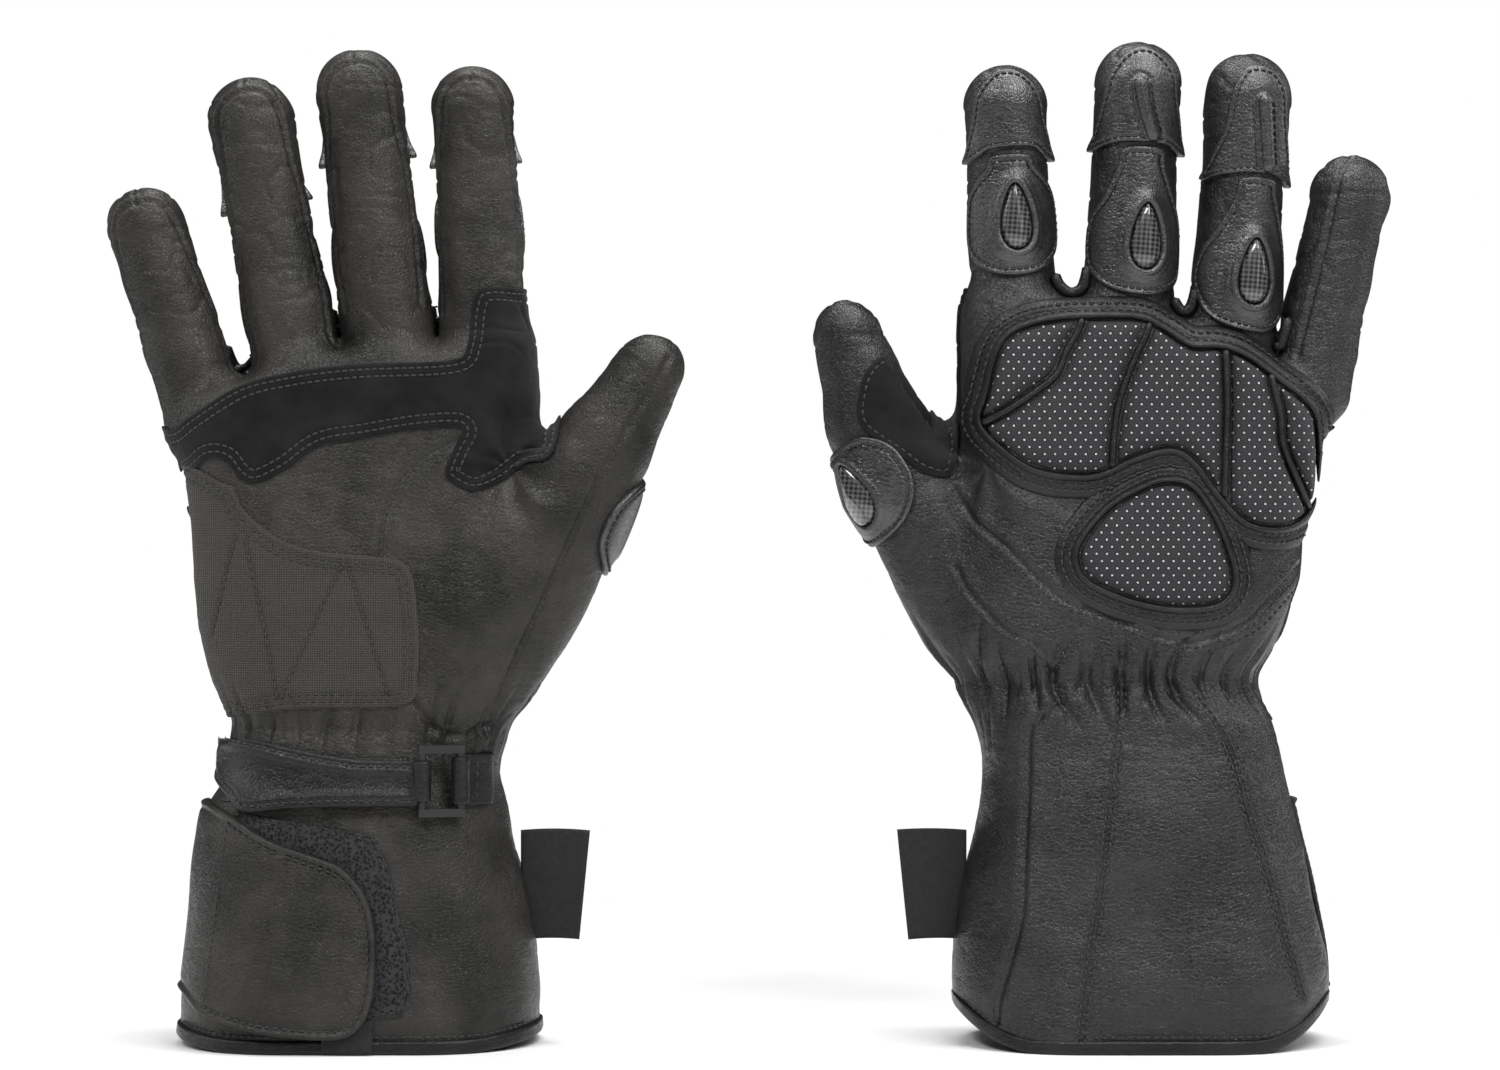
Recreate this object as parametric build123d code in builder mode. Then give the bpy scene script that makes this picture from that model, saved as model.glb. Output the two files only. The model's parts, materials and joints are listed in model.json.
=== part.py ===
from build123d import *
import math
import os

# A pair of leather gauntlet riding gloves that stand on their cuffs with the fingers up.
# Each glove is built in its own frame: x towards the thumb, y towards the back of the hand, z up.
# All sizes are in millimetres.

# ---- Layers, measured outwards from the inside of the lining ----
LINING = 1.8
ELASTIC = 0.7
LEATHER = 1.5
PATCH = 1.1
GUARD = 1.5
PAD = 4.5
FLAP = 1.8
HOOK = 0.6
LOOP = 1.0
STRAP = 1.7
LAYER_GAP = 0.1
MOVING_GAP = 0.3

# ---- Hand ----
WRIST_WIDTH = 90.0
WRIST_DEPTH = 56.0
WRIST_HEIGHT = 104.0
HEEL_WIDTH = 107.0
HEEL_DEPTH = 48.0
HEEL_HEIGHT = 160.0
KNUCKLE_WIDTH = 116.0
KNUCKLE_DEPTH = 39.0
KNUCKLE_HEIGHT = 205.0
CROTCH_WIDTH = 94.0
CROTCH_DEPTH = 30.0
CROTCH_HEIGHT = 234.0
CROTCH_SHIFT = 6.0
WRIST_SHIFT = 3.0
CORNER_SHARE = 0.93

# ---- Cuff ----
CUFF_MIDDLE_WIDTH = 109.0
CUFF_MIDDLE_DEPTH = 71.0
CUFF_MIDDLE_HEIGHT = 54.0
HEM_WIDTH = 118.0
HEM_DEPTH = 82.0
HEM_FLAT = 70.0
BINDING_HEIGHT = 4.0
BINDING_PROUD = 0.8

# ---- Digits: outer width at the hinge, length from hinge to tip, length of the root below the hinge ----
DEPTH_RATIO = 0.9
DIGITS = {
    "index": {"width": 27.2, "tip": 33.5, "root": 74.0, "taper": 1.0},
    "middle": {"width": 28.6, "tip": 37.5, "root": 80.0, "taper": 1.0},
    "ring": {"width": 28.0, "tip": 43.5, "root": 76.0, "taper": 1.0},
    "little": {"width": 25.0, "tip": 35.0, "root": 62.0, "taper": 1.0},
    "thumb": {"width": 31.0, "tip": 42.0, "root": 98.0, "taper": 3.0},
}
FINGERS = ["index", "middle", "ring", "little"]
ROOT_FLARE = 1.2
THUMB_BALL_WIDTH = 50.0
THUMB_BALL_DEPTH = 39.0
THUMB_TURN = 50.0
THUMB_FORWARD = 12.0
THUMB_BASE = (26.0, -4.0, 112.0)

# ---- Finger guards, hard shells and fingertip overlays ----
GUARD_LENGTH = {"index": 35.0, "middle": 42.0, "ring": 37.5, "thumb": 34.0}
SHELL_DROP = {"index": 17.0, "middle": 25.0, "ring": 24.0, "thumb": 17.0}
SHELL_WIDTH = 10.6
SHELL_HEIGHT = 20.5
SHELL_PROUD = 2.4
GUARD_COVER = 0.92
OVERLAY_LENGTH = {"index": 25.0, "middle": 31.0, "ring": 35.0}
RIB_WIDTH = 4.0
RIB_HEIGHT = 1.6
RIB_LENGTH = {"middle": 20.0, "ring": 24.0}

# ---- Pads on the back of the hand ----
KNUCKLE_PAD_TOP = 232.5
KNUCKLE_PAD_DROP = 64.0
KNUCKLE_PAD_THUMB_EDGE = 51.0
KNUCKLE_PAD_OUTER_EDGE = -57.5
PAD_GROOVE = 1.6
HAND_PAD_WIDTH = 44.0
HAND_PAD_HEIGHT = 38.0
HAND_PAD_CENTRE = (-4.0, 161.0)

# ---- Palm reinforcements ----
BAND_WIDTH = 116.0
BAND_HEIGHT = 67.0
BAND_CENTRE = (-2.0, 213.0)
HEEL_PATCH_WIDTH = 78.0
HEEL_PATCH_HEIGHT = 76.0
HEEL_PATCH_CENTRE = (-17.0, 145.5)
CROTCH_PATCH_WIDTH = 24.0
CROTCH_PATCH_HEIGHT = 38.0
CROTCH_PATCH_CENTRE = (67.0, 203.0)

# ---- Wrist elastic, strap and ring ----
ELASTIC_LOW = 110.0
ELASTIC_HEIGHT = 12.0
STRAP_MIDDLE = 87.0
STRAP_HEIGHT = 16.0
STRAP_REACH = 43.0
RING_X = 29.5
RING_WIDTH = 15.0
RING_HEIGHT = 23.0
RING_BAR = 2.6
RING_LIFT = 0.5
LOOP_WALL = 1.2
TAB_LENGTH = 7.0

# ---- Cuff closure and labels ----
FLAP_TOP = 77.0
FLAP_SLOPE = 15.0
FLAP_BOTTOM = 6.0
FLAP_LIFT = 12.0
FLAP_END_X = 9.0
FLAP_CORNER = 16.0
LOOP_TOP = 76.0
LOOP_SLOPE = 6.0
LOOP_BOTTOM = 11.0
LOOP_START_X = -37.0
LOOP_END_X = 19.0
LOOP_CORNER = 12.0
HOOK_MARGIN = 7.0
SIDE_LABEL_WIDTH = 20.0
SIDE_LABEL_HEIGHT = 36.0
SIDE_LABEL_LOW = 33.0
SIZE_LABEL_WIDTH = 16.0
SIZE_LABEL_HEIGHT = 8.0
LABEL_THICKNESS = 1.0

# ---- The pair: how each glove stands, with each digit's hinge (x, z) and lean ----
PITCH = 255.0
GLOVES = {
    "glove1": {
        "side": 1,
        "hem_rise": 3.0,
        "hinges": {
            "index": (38.3, 286.7, -2.9),
            "middle": (2.8, 288.1, -6.8),
            "ring": (-29.9, 273.2, -10.7),
            "little": (-63.1, 246.2, -18.0),
            "thumb": (80.0, 194.0, 31.0),
        },
    },
    "glove2": {
        "side": -1,
        "hem_rise": 11.0,
        "hinges": {
            "index": (41.7, 287.1, 2.6),
            "middle": (0.1, 290.4, -2.8),
            "ring": (-35.1, 280.5, -3.8),
            "little": (-66.1, 256.5, -12.4),
            "thumb": (85.0, 203.0, 17.0),
        },
    },
}

# ---- Layers that follow from the ones above ----
LEATHER_IN = LINING + LAYER_GAP
SKIN = LEATHER_IN + LEATHER
OVER = SKIN + LAYER_GAP
GUARD_IN = SKIN + MOVING_GAP
LOOP_OUT = OVER + LOOP
HOOK_IN = LOOP_OUT + MOVING_GAP
FLAP_IN = HOOK_IN + HOOK + LAYER_GAP
STRAP_OUT = OVER + STRAP
END_IN = STRAP_OUT + MOVING_GAP
RING_OFFSET = END_IN + STRAP / 2 + RING_LIFT
FAR = 400.0

BACK = Plane(origin=(0, 0, 0), x_dir=(-1, 0, 0), z_dir=(0, 1, 0))
PALM = Plane(origin=(0, 0, 0), x_dir=(1, 0, 0), z_dir=(0, -1, 0))

# Outlines as shares of each piece's width and height. On the back of the hand x runs to the little finger.
KNUCKLE_OUTLINE = [
    (0.0, -0.50), (0.04, -0.20), (0.12, -0.04), (0.26, 0.0), (0.46, -0.01), (0.58, -0.10), (0.71, -0.14),
    (0.86, -0.28), (0.97, -0.42), (1.0, -0.56), (1.0, -0.82), (0.95, -0.96), (0.86, -1.0), (0.77, -0.96),
    (0.64, -0.69), (0.55, -0.61), (0.42, -0.67), (0.32, -0.73), (0.16, -0.71), (0.04, -0.60),
]
KNUCKLE_GROOVES = [
    [(0.31, 0.05), (0.23, -0.27), (0.16, -0.36), (-0.05, -0.52)],
    [(0.50, 0.05), (0.455, -0.21), (0.41, -0.40), (0.39, -0.80)],
    [(0.71, -0.05), (0.716, -0.42), (0.71, -1.05)],
    [(0.86, -0.15), (0.872, -0.44), (0.88, -0.60), (0.92, -0.76), (1.0, -1.0)],
]
HAND_PAD_OUTLINE = [
    (0.09, 0.52), (0.30, 0.42), (0.465, 0.02), (0.50, -0.30), (0.40, -0.46), (0.0, -0.44), (-0.38, -0.32),
    (-0.50, -0.10), (-0.42, 0.14), (-0.20, 0.42),
]
BAND_OUTLINE = [
    (-0.50, -0.19), (-0.30, 0.02), (-0.16, 0.09), (0.02, 0.125), (0.28, 0.145), (0.33, 0.22), (0.345, 0.42),
    (0.375, 0.50), (0.50, 0.50), (0.50, -0.34), (0.42, -0.47), (0.36, -0.50), (0.27, -0.44), (0.30, -0.28),
    (0.31, -0.18), (0.19, -0.20), (-0.07, -0.27), (-0.17, -0.39), (-0.25, -0.45), (-0.30, -0.42), (-0.34, -0.34),
    (-0.39, -0.33), (-0.50, -0.41),
]
HEEL_PATCH_OUTLINE = [
    (-0.50, 0.50), (-0.32, 0.49), (-0.23, 0.37), (-0.09, 0.26), (0.09, 0.20), (0.38, 0.17), (0.48, 0.09),
    (0.50, -0.17), (0.50, -0.32), (0.46, -0.44), (0.04, -0.46), (-0.30, -0.49), (-0.50, -0.40),
]
CROTCH_PATCH_OUTLINE = [
    (-0.36, 0.46), (-0.50, 0.36), (-0.46, -0.12), (-0.06, -0.40), (0.20, -0.50), (0.46, -0.48), (0.50, 0.10),
    (0.10, 0.48),
]


def oval_loft(sections, grow):
    """A smooth body through level rounded sections (z, centre x, width, depth), grown outwards."""
    with BuildPart() as body:
        for height, centre, width, depth in sections:
            half = depth / 2 + grow - SKIN
            with BuildSketch(Plane.XY.offset(height)):
                with Locations((centre, 0)):
                    RectangleRounded(width + 2 * (grow - SKIN), 2 * half, CORNER_SHARE * half)
        loft()
    return body.part


def palm_body(grow):
    """The hand from the wrist seam to the finger crotches, closed at the top."""
    return oval_loft(
        [
            (WRIST_HEIGHT, WRIST_SHIFT, WRIST_WIDTH, WRIST_DEPTH),
            (HEEL_HEIGHT, 0, HEEL_WIDTH, HEEL_DEPTH),
            (KNUCKLE_HEIGHT, 0, KNUCKLE_WIDTH, KNUCKLE_DEPTH),
            (CROTCH_HEIGHT + grow - SKIN, CROTCH_SHIFT, CROTCH_WIDTH, CROTCH_DEPTH),
        ],
        grow,
    )


def cuff_body(grow):
    """The flared cuff from the hem to the wrist seam."""
    return oval_loft(
        [
            (0, 0, HEM_WIDTH, HEM_DEPTH),
            (CUFF_MIDDLE_HEIGHT, 0, CUFF_MIDDLE_WIDTH, CUFF_MIDDLE_DEPTH),
            (WRIST_HEIGHT, WRIST_SHIFT, WRIST_WIDTH, WRIST_DEPTH),
        ],
        grow,
    )


def digit_plane(name, hinges):
    """The frame at a digit's hinge: x along the hinge axis, y towards its back, z along the digit."""
    x, z, lean = hinges[name]
    along = Vector(math.sin(math.radians(lean)), 0, math.cos(math.radians(lean)))
    across = Vector(along.Z, 0, -along.X)
    if name != "thumb":
        return Plane(origin=(x, 0, z), x_dir=across, z_dir=along)
    return turned_plane(Vector(x, -THUMB_FORWARD, z), along)


def turned_plane(origin, along):
    """A frame along the thumb, with its back turned partly sideways."""
    turn = math.radians(THUMB_TURN)
    across = Vector(along.Z, 0, -along.X).normalized()
    back = along.cross(across)
    return Plane(origin=origin, x_dir=across * math.cos(turn) - back * math.sin(turn), z_dir=along)


def thumb_ball_plane(hinges):
    """The thumb's frame at its hinge, in line with the ball of the thumb below it."""
    x, z, lean = hinges["thumb"]
    hinge = Vector(x, -THUMB_FORWARD, z)
    return turned_plane(hinge, (hinge - Vector(*THUMB_BASE)).normalized())


def half_depth(name):
    return DIGITS[name]["width"] / 2 * DEPTH_RATIO


def tip_body(name, grow):
    """A digit from below its hinge to its rounded tip, in the digit's frame."""
    radius = DIGITS[name]["width"] / 2 + grow - SKIN
    cap = radius - DIGITS[name]["taper"]
    top = DIGITS[name]["tip"] + grow - SKIN
    low = -2 * radius
    with BuildPart() as body:
        with BuildSketch(Plane.XZ):
            with BuildLine():
                Polyline((0, top), (0, low), (radius, low), (radius, 0), (cap, top - cap))
                CenterArc((0, top - cap), cap, 0, 90)
            make_face()
        revolve(axis=Axis.Z)
        scale(by=(1, DEPTH_RATIO, 1))
    return body.part


def root_body(name, grow):
    """A finger's root from inside the palm to its hinge, in the digit's frame."""
    radius = DIGITS[name]["width"] / 2 + grow - SKIN
    wide = radius + ROOT_FLARE
    with BuildPart() as body:
        with BuildSketch(Plane.XY):
            Ellipse(radius, radius * DEPTH_RATIO)
        with BuildSketch(Plane.XY.offset(-DIGITS[name]["root"])):
            Ellipse(wide, wide * DEPTH_RATIO)
        loft()
    return body.part


def thumb_root(hinges, grow):
    """The ball of the thumb, from the heel of the hand to the thumb's hinge."""
    x, z, lean = hinges["thumb"]
    start = Vector(*THUMB_BASE)
    end = Vector(x, -THUMB_FORWARD, z)
    along = (end - start).normalized()
    across = Vector(along.Z, 0, -along.X)
    radius = DIGITS["thumb"]["width"] / 2
    wide, deep = THUMB_BALL_WIDTH / 2, THUMB_BALL_DEPTH / 2
    sections = [
        (0.0, wide, deep),
        (0.5, wide, deep),
        (0.78, (wide + radius) / 2, (deep + radius) / 2),
        (1.0, radius, radius * DEPTH_RATIO),
    ]
    with BuildPart() as body:
        for share, half_width, half_height in sections:
            place = start + (end - start) * share
            with BuildSketch(Plane(origin=place, x_dir=across, z_dir=along)):
                Ellipse(half_width + grow - SKIN, half_height + grow - SKIN)
        loft()
    return body.part


def hand_body(hinges, grow):
    """Palm, finger roots and the ball of the thumb as one body above the wrist seam."""
    with BuildPart() as body:
        add(palm_body(grow))
        for name in FINGERS:
            add(root_body(name, grow).moved(digit_plane(name, hinges).location))
        add(thumb_root(hinges, grow))
        add(slab(WRIST_HEIGHT, FAR), mode=Mode.INTERSECT)
    return body.part


def slab(low, high):
    """Everything between two heights."""
    with BuildPart() as region:
        with BuildSketch(Plane.XY.offset(low)):
            Rectangle(FAR, FAR)
        extrude(amount=high - low)
    return region.part


def side_half(plane):
    """Everything on one side of the side seams."""
    with BuildPart() as region:
        with BuildSketch(plane):
            Rectangle(FAR, 2 * FAR)
        extrude(amount=FAR)
    return region.part


def above_hem(rise, lift):
    """Everything above the hem line, which is level in the middle and rises to the side seams."""
    flat = HEM_FLAT / 2
    edge = HEM_WIDTH / 2
    with BuildPart() as region:
        with BuildSketch(PALM):
            with BuildLine():
                Line((-flat, lift), (flat, lift))
                TangentArc((flat, lift), (edge, lift + rise), tangent=(1, 0))
                TangentArc((-flat, lift), (-edge, lift + rise), tangent=(-1, 0))
                Polyline((edge, lift + rise), (FAR, lift + rise), (FAR, FAR), (-FAR, FAR),
                         (-FAR, lift + rise), (-edge, lift + rise))
            make_face()
        extrude(amount=FAR, both=True)
    return region.part


def prism(plane, points, smooth=False):
    """An outline on a plane, drawn out through the glove's wall on that side."""
    with BuildPart() as region:
        with BuildSketch(plane):
            with BuildLine():
                if smooth:
                    Spline(*points, periodic=True)
                else:
                    Polyline(*points, close=True)
            make_face()
        extrude(amount=FAR)
    return region.part


def placed(outline, centre, width, height):
    """An outline given in shares, at its size and place."""
    return [(centre[0] + share_x * width, centre[1] + share_z * height) for share_x, share_z in outline]


def between(outer, inner, *regions):
    """What lies between two nested bodies and inside each of the given regions."""
    with BuildPart() as piece:
        add(outer)
        add(inner, mode=Mode.SUBTRACT)
        for region in regions:
            add(region, mode=Mode.INTERSECT)
    return piece.part


def without(part, *others):
    with BuildPart() as piece:
        add(part)
        for other in others:
            add(other, mode=Mode.SUBTRACT)
    return piece.part


def within(part, *regions):
    with BuildPart() as piece:
        add(part)
        for region in regions:
            add(region, mode=Mode.INTERSECT)
    return piece.part


def surface_point(body, x, z):
    """The point of a body's palm side at a given place, and the outward direction there."""
    hits = body.find_intersection_points(Axis((x, 0, z), (0, -1, 0)))
    point, normal = min(hits, key=lambda hit: hit[0].Y)
    if normal.Y > 0:
        normal = -normal
    return point, Vector(normal.X, normal.Y, 0).normalized()


# ---- Fingertips ----

def socket_room(name):
    """The room that a fingertip needs to turn in, in the digit's frame."""
    reach = half_depth(name) + MOVING_GAP
    span = DIGITS[name]["width"] + 20
    with BuildPart() as room:
        Cylinder(reach, span, rotation=(0, 90, 0))
        Box(span, span, reach, align=(Align.CENTER, Align.MAX, Align.MAX))
        Box(span, 2 * span, span, align=(Align.CENTER, Align.CENTER, Align.MIN))
    return room.part


def sockets(hinges):
    """The rooms of all five fingertips, taken out of everything fixed to the hand."""
    with BuildPart() as rooms:
        for name in DIGITS:
            add(socket_room(name).moved(digit_plane(name, hinges).location))
    return rooms.part


def make_tip(name):
    """A hollow fingertip whose lower end is round about the hinge axis."""
    span = DIGITS[name]["width"] + 20
    with BuildPart() as keep:
        Cylinder(half_depth(name) - LAYER_GAP, span, rotation=(0, 90, 0))
        Box(span, span, 2 * DIGITS[name]["tip"], align=(Align.CENTER, Align.CENTER, Align.MIN))
    return between(tip_body(name, SKIN), tip_body(name, 0), keep.part)


def make_overlay(name):
    """The moulded leather on a fingertip's back, with its raised rib on the middle and ring fingers."""
    half = DIGITS[name]["width"] / 2 * GUARD_COVER
    length = OVERLAY_LENGTH[name]
    outline = [
        (-0.75 * half, MOVING_GAP), (0.75 * half, MOVING_GAP), (half, 0.25 * length),
        (0.6 * half, 0.75 * length), (0.4 * half, length), (-0.4 * half, length),
        (-0.6 * half, 0.75 * length), (-half, 0.25 * length),
    ]
    with BuildPart() as overlay:
        add(tip_body(name, GUARD_IN + GUARD))
        add(tip_body(name, GUARD_IN), mode=Mode.SUBTRACT)
        add(prism(BACK, outline), mode=Mode.INTERSECT)
    if name not in RIB_LENGTH:
        return overlay.part
    rib_line = [(-RIB_WIDTH / 2, 2), (RIB_WIDTH / 2, 2)]
    rib_line += [(RIB_WIDTH / 2, 2 + RIB_LENGTH[name]), (-RIB_WIDTH / 2, 2 + RIB_LENGTH[name])]
    rib = between(tip_body(name, GUARD_IN + GUARD + RIB_HEIGHT), tip_body(name, GUARD_IN), prism(BACK, rib_line))
    with BuildPart() as ribbed:
        add(overlay.part)
        add(rib)
    return ribbed.part


# ---- Guards and hard shells ----

def shell_form(surface, drop, clearance):
    """The egg-shaped form of a hard shell, or of its window in the guard."""
    with BuildPart() as form:
        Sphere(1)
        scale(by=(SHELL_WIDTH / 2 + clearance, GUARD + SHELL_PROUD + clearance, SHELL_HEIGHT / 2 + clearance))
    return form.part.moved(Location((0, surface, -drop)))


def guard_outline(name):
    half = DIGITS[name]["width"] / 2 * GUARD_COVER
    length = GUARD_LENGTH[name]
    return [
        (-0.7 * half, -MOVING_GAP), (0.7 * half, -MOVING_GAP), (half, -0.2 * length), (half, -0.7 * length),
        (0.6 * half, -0.94 * length), (0, -length), (-0.6 * half, -0.94 * length), (-half, -0.7 * length),
        (-half, -0.2 * length),
    ]


def make_finger_guard(name, hinges):
    """One finger's guard and hard shell, over the knuckle below the hinge."""
    place = digit_plane(name, hinges).location
    surface = half_depth(name) + MOVING_GAP
    window = shell_form(surface, SHELL_DROP[name], LAYER_GAP)
    skin = root_body(name, GUARD_IN)
    cover = between(root_body(name, GUARD_IN + GUARD), skin, prism(BACK, guard_outline(name)))
    guard = without(cover, window, socket_room(name))
    shell = without(shell_form(surface, SHELL_DROP[name], 0), skin)
    return guard.moved(place), shell.moved(place)


def make_thumb_guard(hinges, rooms):
    """The thumb's guard and hard shell, on the outer side of the ball of the thumb."""
    place = thumb_ball_plane(hinges).location
    skin = thumb_root(hinges, GUARD_IN)
    region = prism(BACK, guard_outline("thumb")).moved(place)
    surface = (DIGITS["thumb"]["width"] + THUMB_BALL_DEPTH) / 4 + MOVING_GAP
    window = shell_form(surface, SHELL_DROP["thumb"], LAYER_GAP).moved(place)
    guard = without(between(thumb_root(hinges, GUARD_IN + GUARD), skin, region), window, rooms)
    shell = without(shell_form(surface, SHELL_DROP["thumb"], 0).moved(place), skin)
    return guard, shell


# ---- Pads on the back of the hand ----

def knuckle_points(outline):
    """Points of the knuckle pad, in shares from its thumb edge to its outer edge and from its top down."""
    width = KNUCKLE_PAD_THUMB_EDGE - KNUCKLE_PAD_OUTER_EDGE
    return [(-KNUCKLE_PAD_THUMB_EDGE + x * width, KNUCKLE_PAD_TOP + z * KNUCKLE_PAD_DROP) for x, z in outline]


def make_pads(hinges):
    """The five segments of the knuckle pad, clear of the little finger's root, and the pad below them."""
    with BuildPart() as grooves:
        for line in KNUCKLE_GROOVES:
            with BuildSketch(BACK):
                with BuildLine():
                    Polyline(*knuckle_points(line))
                trace(line_width=PAD_GROOVE)
        extrude(amount=FAR)
    padded = between(palm_body(OVER + PAD), palm_body(OVER), side_half(BACK))
    little_root = root_body("little", OVER).moved(digit_plane("little", hinges).location)
    knuckle = within(padded, prism(BACK, knuckle_points(KNUCKLE_OUTLINE), smooth=True))
    knuckle = without(knuckle, grooves.part, little_root)
    pad_centre = (-HAND_PAD_CENTRE[0], HAND_PAD_CENTRE[1])
    pad_points = placed(HAND_PAD_OUTLINE, pad_centre, HAND_PAD_WIDTH, HAND_PAD_HEIGHT)
    return {"knuckle_pad": knuckle, "hand_pad": within(padded, prism(BACK, pad_points, smooth=True))}


# ---- Wrist strap and ring ----

def ring_plane():
    """The ring's frame: x across the ring towards the thumb, y up, z away from the wrist."""
    point, outward = surface_point(cuff_body(RING_OFFSET), RING_X, STRAP_MIDDLE)
    return Plane(origin=point, x_dir=Vector(-outward.Y, outward.X, 0), z_dir=outward)


def bar_x(side):
    """The centre line of the ring's strap bar (-1) or tab bar (+1), across the ring."""
    return side * (RING_WIDTH - RING_BAR) / 2


def bar_loop(side):
    """A loop of leather round one of the ring's upright bars, in the ring's frame."""
    with BuildPart() as loop:
        with BuildSketch(Plane.XZ.offset(-STRAP_HEIGHT / 2)):
            with Locations((bar_x(side), 0)):
                Circle(RING_BAR / 2 + MOVING_GAP + LOOP_WALL)
        extrude(amount=STRAP_HEIGHT)
    return loop.part


def bar_hole(side):
    with BuildPart() as hole:
        with BuildSketch(Plane.XZ.offset(-RING_HEIGHT)):
            with Locations((bar_x(side), 0)):
                Circle(RING_BAR / 2 + MOVING_GAP)
        extrude(amount=2 * RING_HEIGHT)
    return hole.part


def make_ring():
    """The rectangular ring: two round upright bars between two flat end bars."""
    with BuildPart() as ring:
        with Locations((0, RING_HEIGHT / 2 - RING_BAR / 2, 0), (0, RING_BAR / 2 - RING_HEIGHT / 2, 0)):
            Box(RING_WIDTH, RING_BAR, RING_BAR)
        with Locations((bar_x(-1), 0, 0), (bar_x(1), 0, 0)):
            Cylinder(RING_BAR / 2, RING_HEIGHT - RING_BAR, rotation=(90, 0, 0))
    return ring.part


def strap_region(start, end, rounded):
    """A level band of the palm side of the wrist between two places across it."""
    low, high = STRAP_MIDDLE - STRAP_HEIGHT / 2, STRAP_MIDDLE + STRAP_HEIGHT / 2
    with BuildPart() as region:
        with BuildSketch(PALM):
            with BuildLine():
                Line((end, high), (end, low))
                Line((end, low), (start + rounded, low))
                Line((end, high), (start + rounded, high))
                if rounded:
                    ThreePointArc((start + rounded, low), (start, STRAP_MIDDLE), (start + rounded, high))
                else:
                    Line((start, low), (start, high))
            make_face()
        extrude(amount=FAR)
    return region.part


def make_strap():
    """The strap's sewn part, its free end with a loop round the ring's bar, the ring and its tab."""
    plane = ring_plane()
    loop_reach = RING_BAR / 2 + MOVING_GAP + LOOP_WALL
    strap_bar = plane.from_local_coords((bar_x(-1), 0, 0)).X
    tab_bar = plane.from_local_coords((bar_x(1), 0, 0)).X
    base_end = strap_bar - loop_reach - MOVING_GAP
    base = between(cuff_body(STRAP_OUT), cuff_body(OVER), strap_region(-STRAP_REACH, base_end, 0))
    free = between(cuff_body(END_IN + STRAP), cuff_body(END_IN), strap_region(-STRAP_REACH - 3, strap_bar, 7))
    with BuildPart() as strap_end:
        add(free)
        add(bar_loop(-1).moved(plane.location))
        add(bar_hole(-1).moved(plane.location), mode=Mode.SUBTRACT)
    tab_strip = between(cuff_body(STRAP_OUT), cuff_body(OVER), strap_region(tab_bar, tab_bar + TAB_LENGTH, 0))
    with BuildPart() as tab:
        add(tab_strip)
        add(bar_loop(1).moved(plane.location))
        add(bar_hole(1).moved(plane.location), mode=Mode.SUBTRACT)
        add(cuff_body(OVER), mode=Mode.SUBTRACT)
    return {
        "strap_base": base,
        "strap_tab": tab.part,
        "strap_ring": make_ring().moved(plane.location),
        "strap_end": without(strap_end.part, cuff_body(OVER)),
    }


# ---- Cuff closure ----

def closure_region(start, end, tops, bottoms, corner):
    """A patch on the cuff's palm side with sloping edges and round outer corners."""
    with BuildPart() as region:
        with BuildSketch(PALM):
            with BuildLine():
                Line((start, bottoms[0]), (end - corner, bottoms[1]))
                TangentArc((end - corner, bottoms[1]), (end, bottoms[1] + corner), tangent=(1, 0))
                Line((end, bottoms[1] + corner), (end, tops[1] - corner))
                TangentArc((end, tops[1] - corner), (end - corner, tops[1]), tangent=(0, 1))
                Polyline((end - corner, tops[1]), (start, tops[0]), (start, bottoms[0]))
            make_face()
        extrude(amount=FAR)
    return region.part


def make_closure():
    """The cuff flap, its hook patch, and the loop patch that holds it."""
    outside = -HEM_WIDTH / 2 - FLAP_IN - FLAP
    flap_region = closure_region(
        outside, FLAP_END_X, (FLAP_TOP, FLAP_TOP - FLAP_SLOPE), (FLAP_BOTTOM + FLAP_LIFT, FLAP_BOTTOM), FLAP_CORNER
    )
    hook_top = FLAP_TOP - FLAP_SLOPE - HOOK_MARGIN
    hook_low = FLAP_BOTTOM + FLAP_LIFT / 2 + HOOK_MARGIN
    hook_region = closure_region(
        LOOP_START_X + HOOK_MARGIN, FLAP_END_X - HOOK_MARGIN, (hook_top, hook_top), (hook_low, hook_low),
        FLAP_CORNER - HOOK_MARGIN
    )
    loop_region = closure_region(
        LOOP_START_X, LOOP_END_X, (LOOP_TOP, LOOP_TOP - LOOP_SLOPE), (LOOP_BOTTOM, LOOP_BOTTOM), LOOP_CORNER
    )
    flap_outer = cuff_body(FLAP_IN + FLAP)
    return {
        "cuff_flap": between(flap_outer, cuff_body(FLAP_IN), flap_region, side_half(PALM)),
        "flap_hook": between(cuff_body(HOOK_IN + HOOK), cuff_body(HOOK_IN), hook_region),
        "cuff_loop": between(cuff_body(LOOP_OUT), cuff_body(OVER), loop_region),
    }


def flap_axis():
    """Two points of the flap's hinge line, along the side seam away from the thumb."""
    body = cuff_body(FLAP_IN + FLAP / 2)
    ends = []
    for height in (FLAP_BOTTOM, FLAP_TOP):
        hits = body.find_intersection_points(Axis((0, 0, height), (-1, 0, 0)))
        ends.append(min((hit[0] for hit in hits), key=lambda point: point.X))
    return ends


# ---- Labels ----

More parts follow.
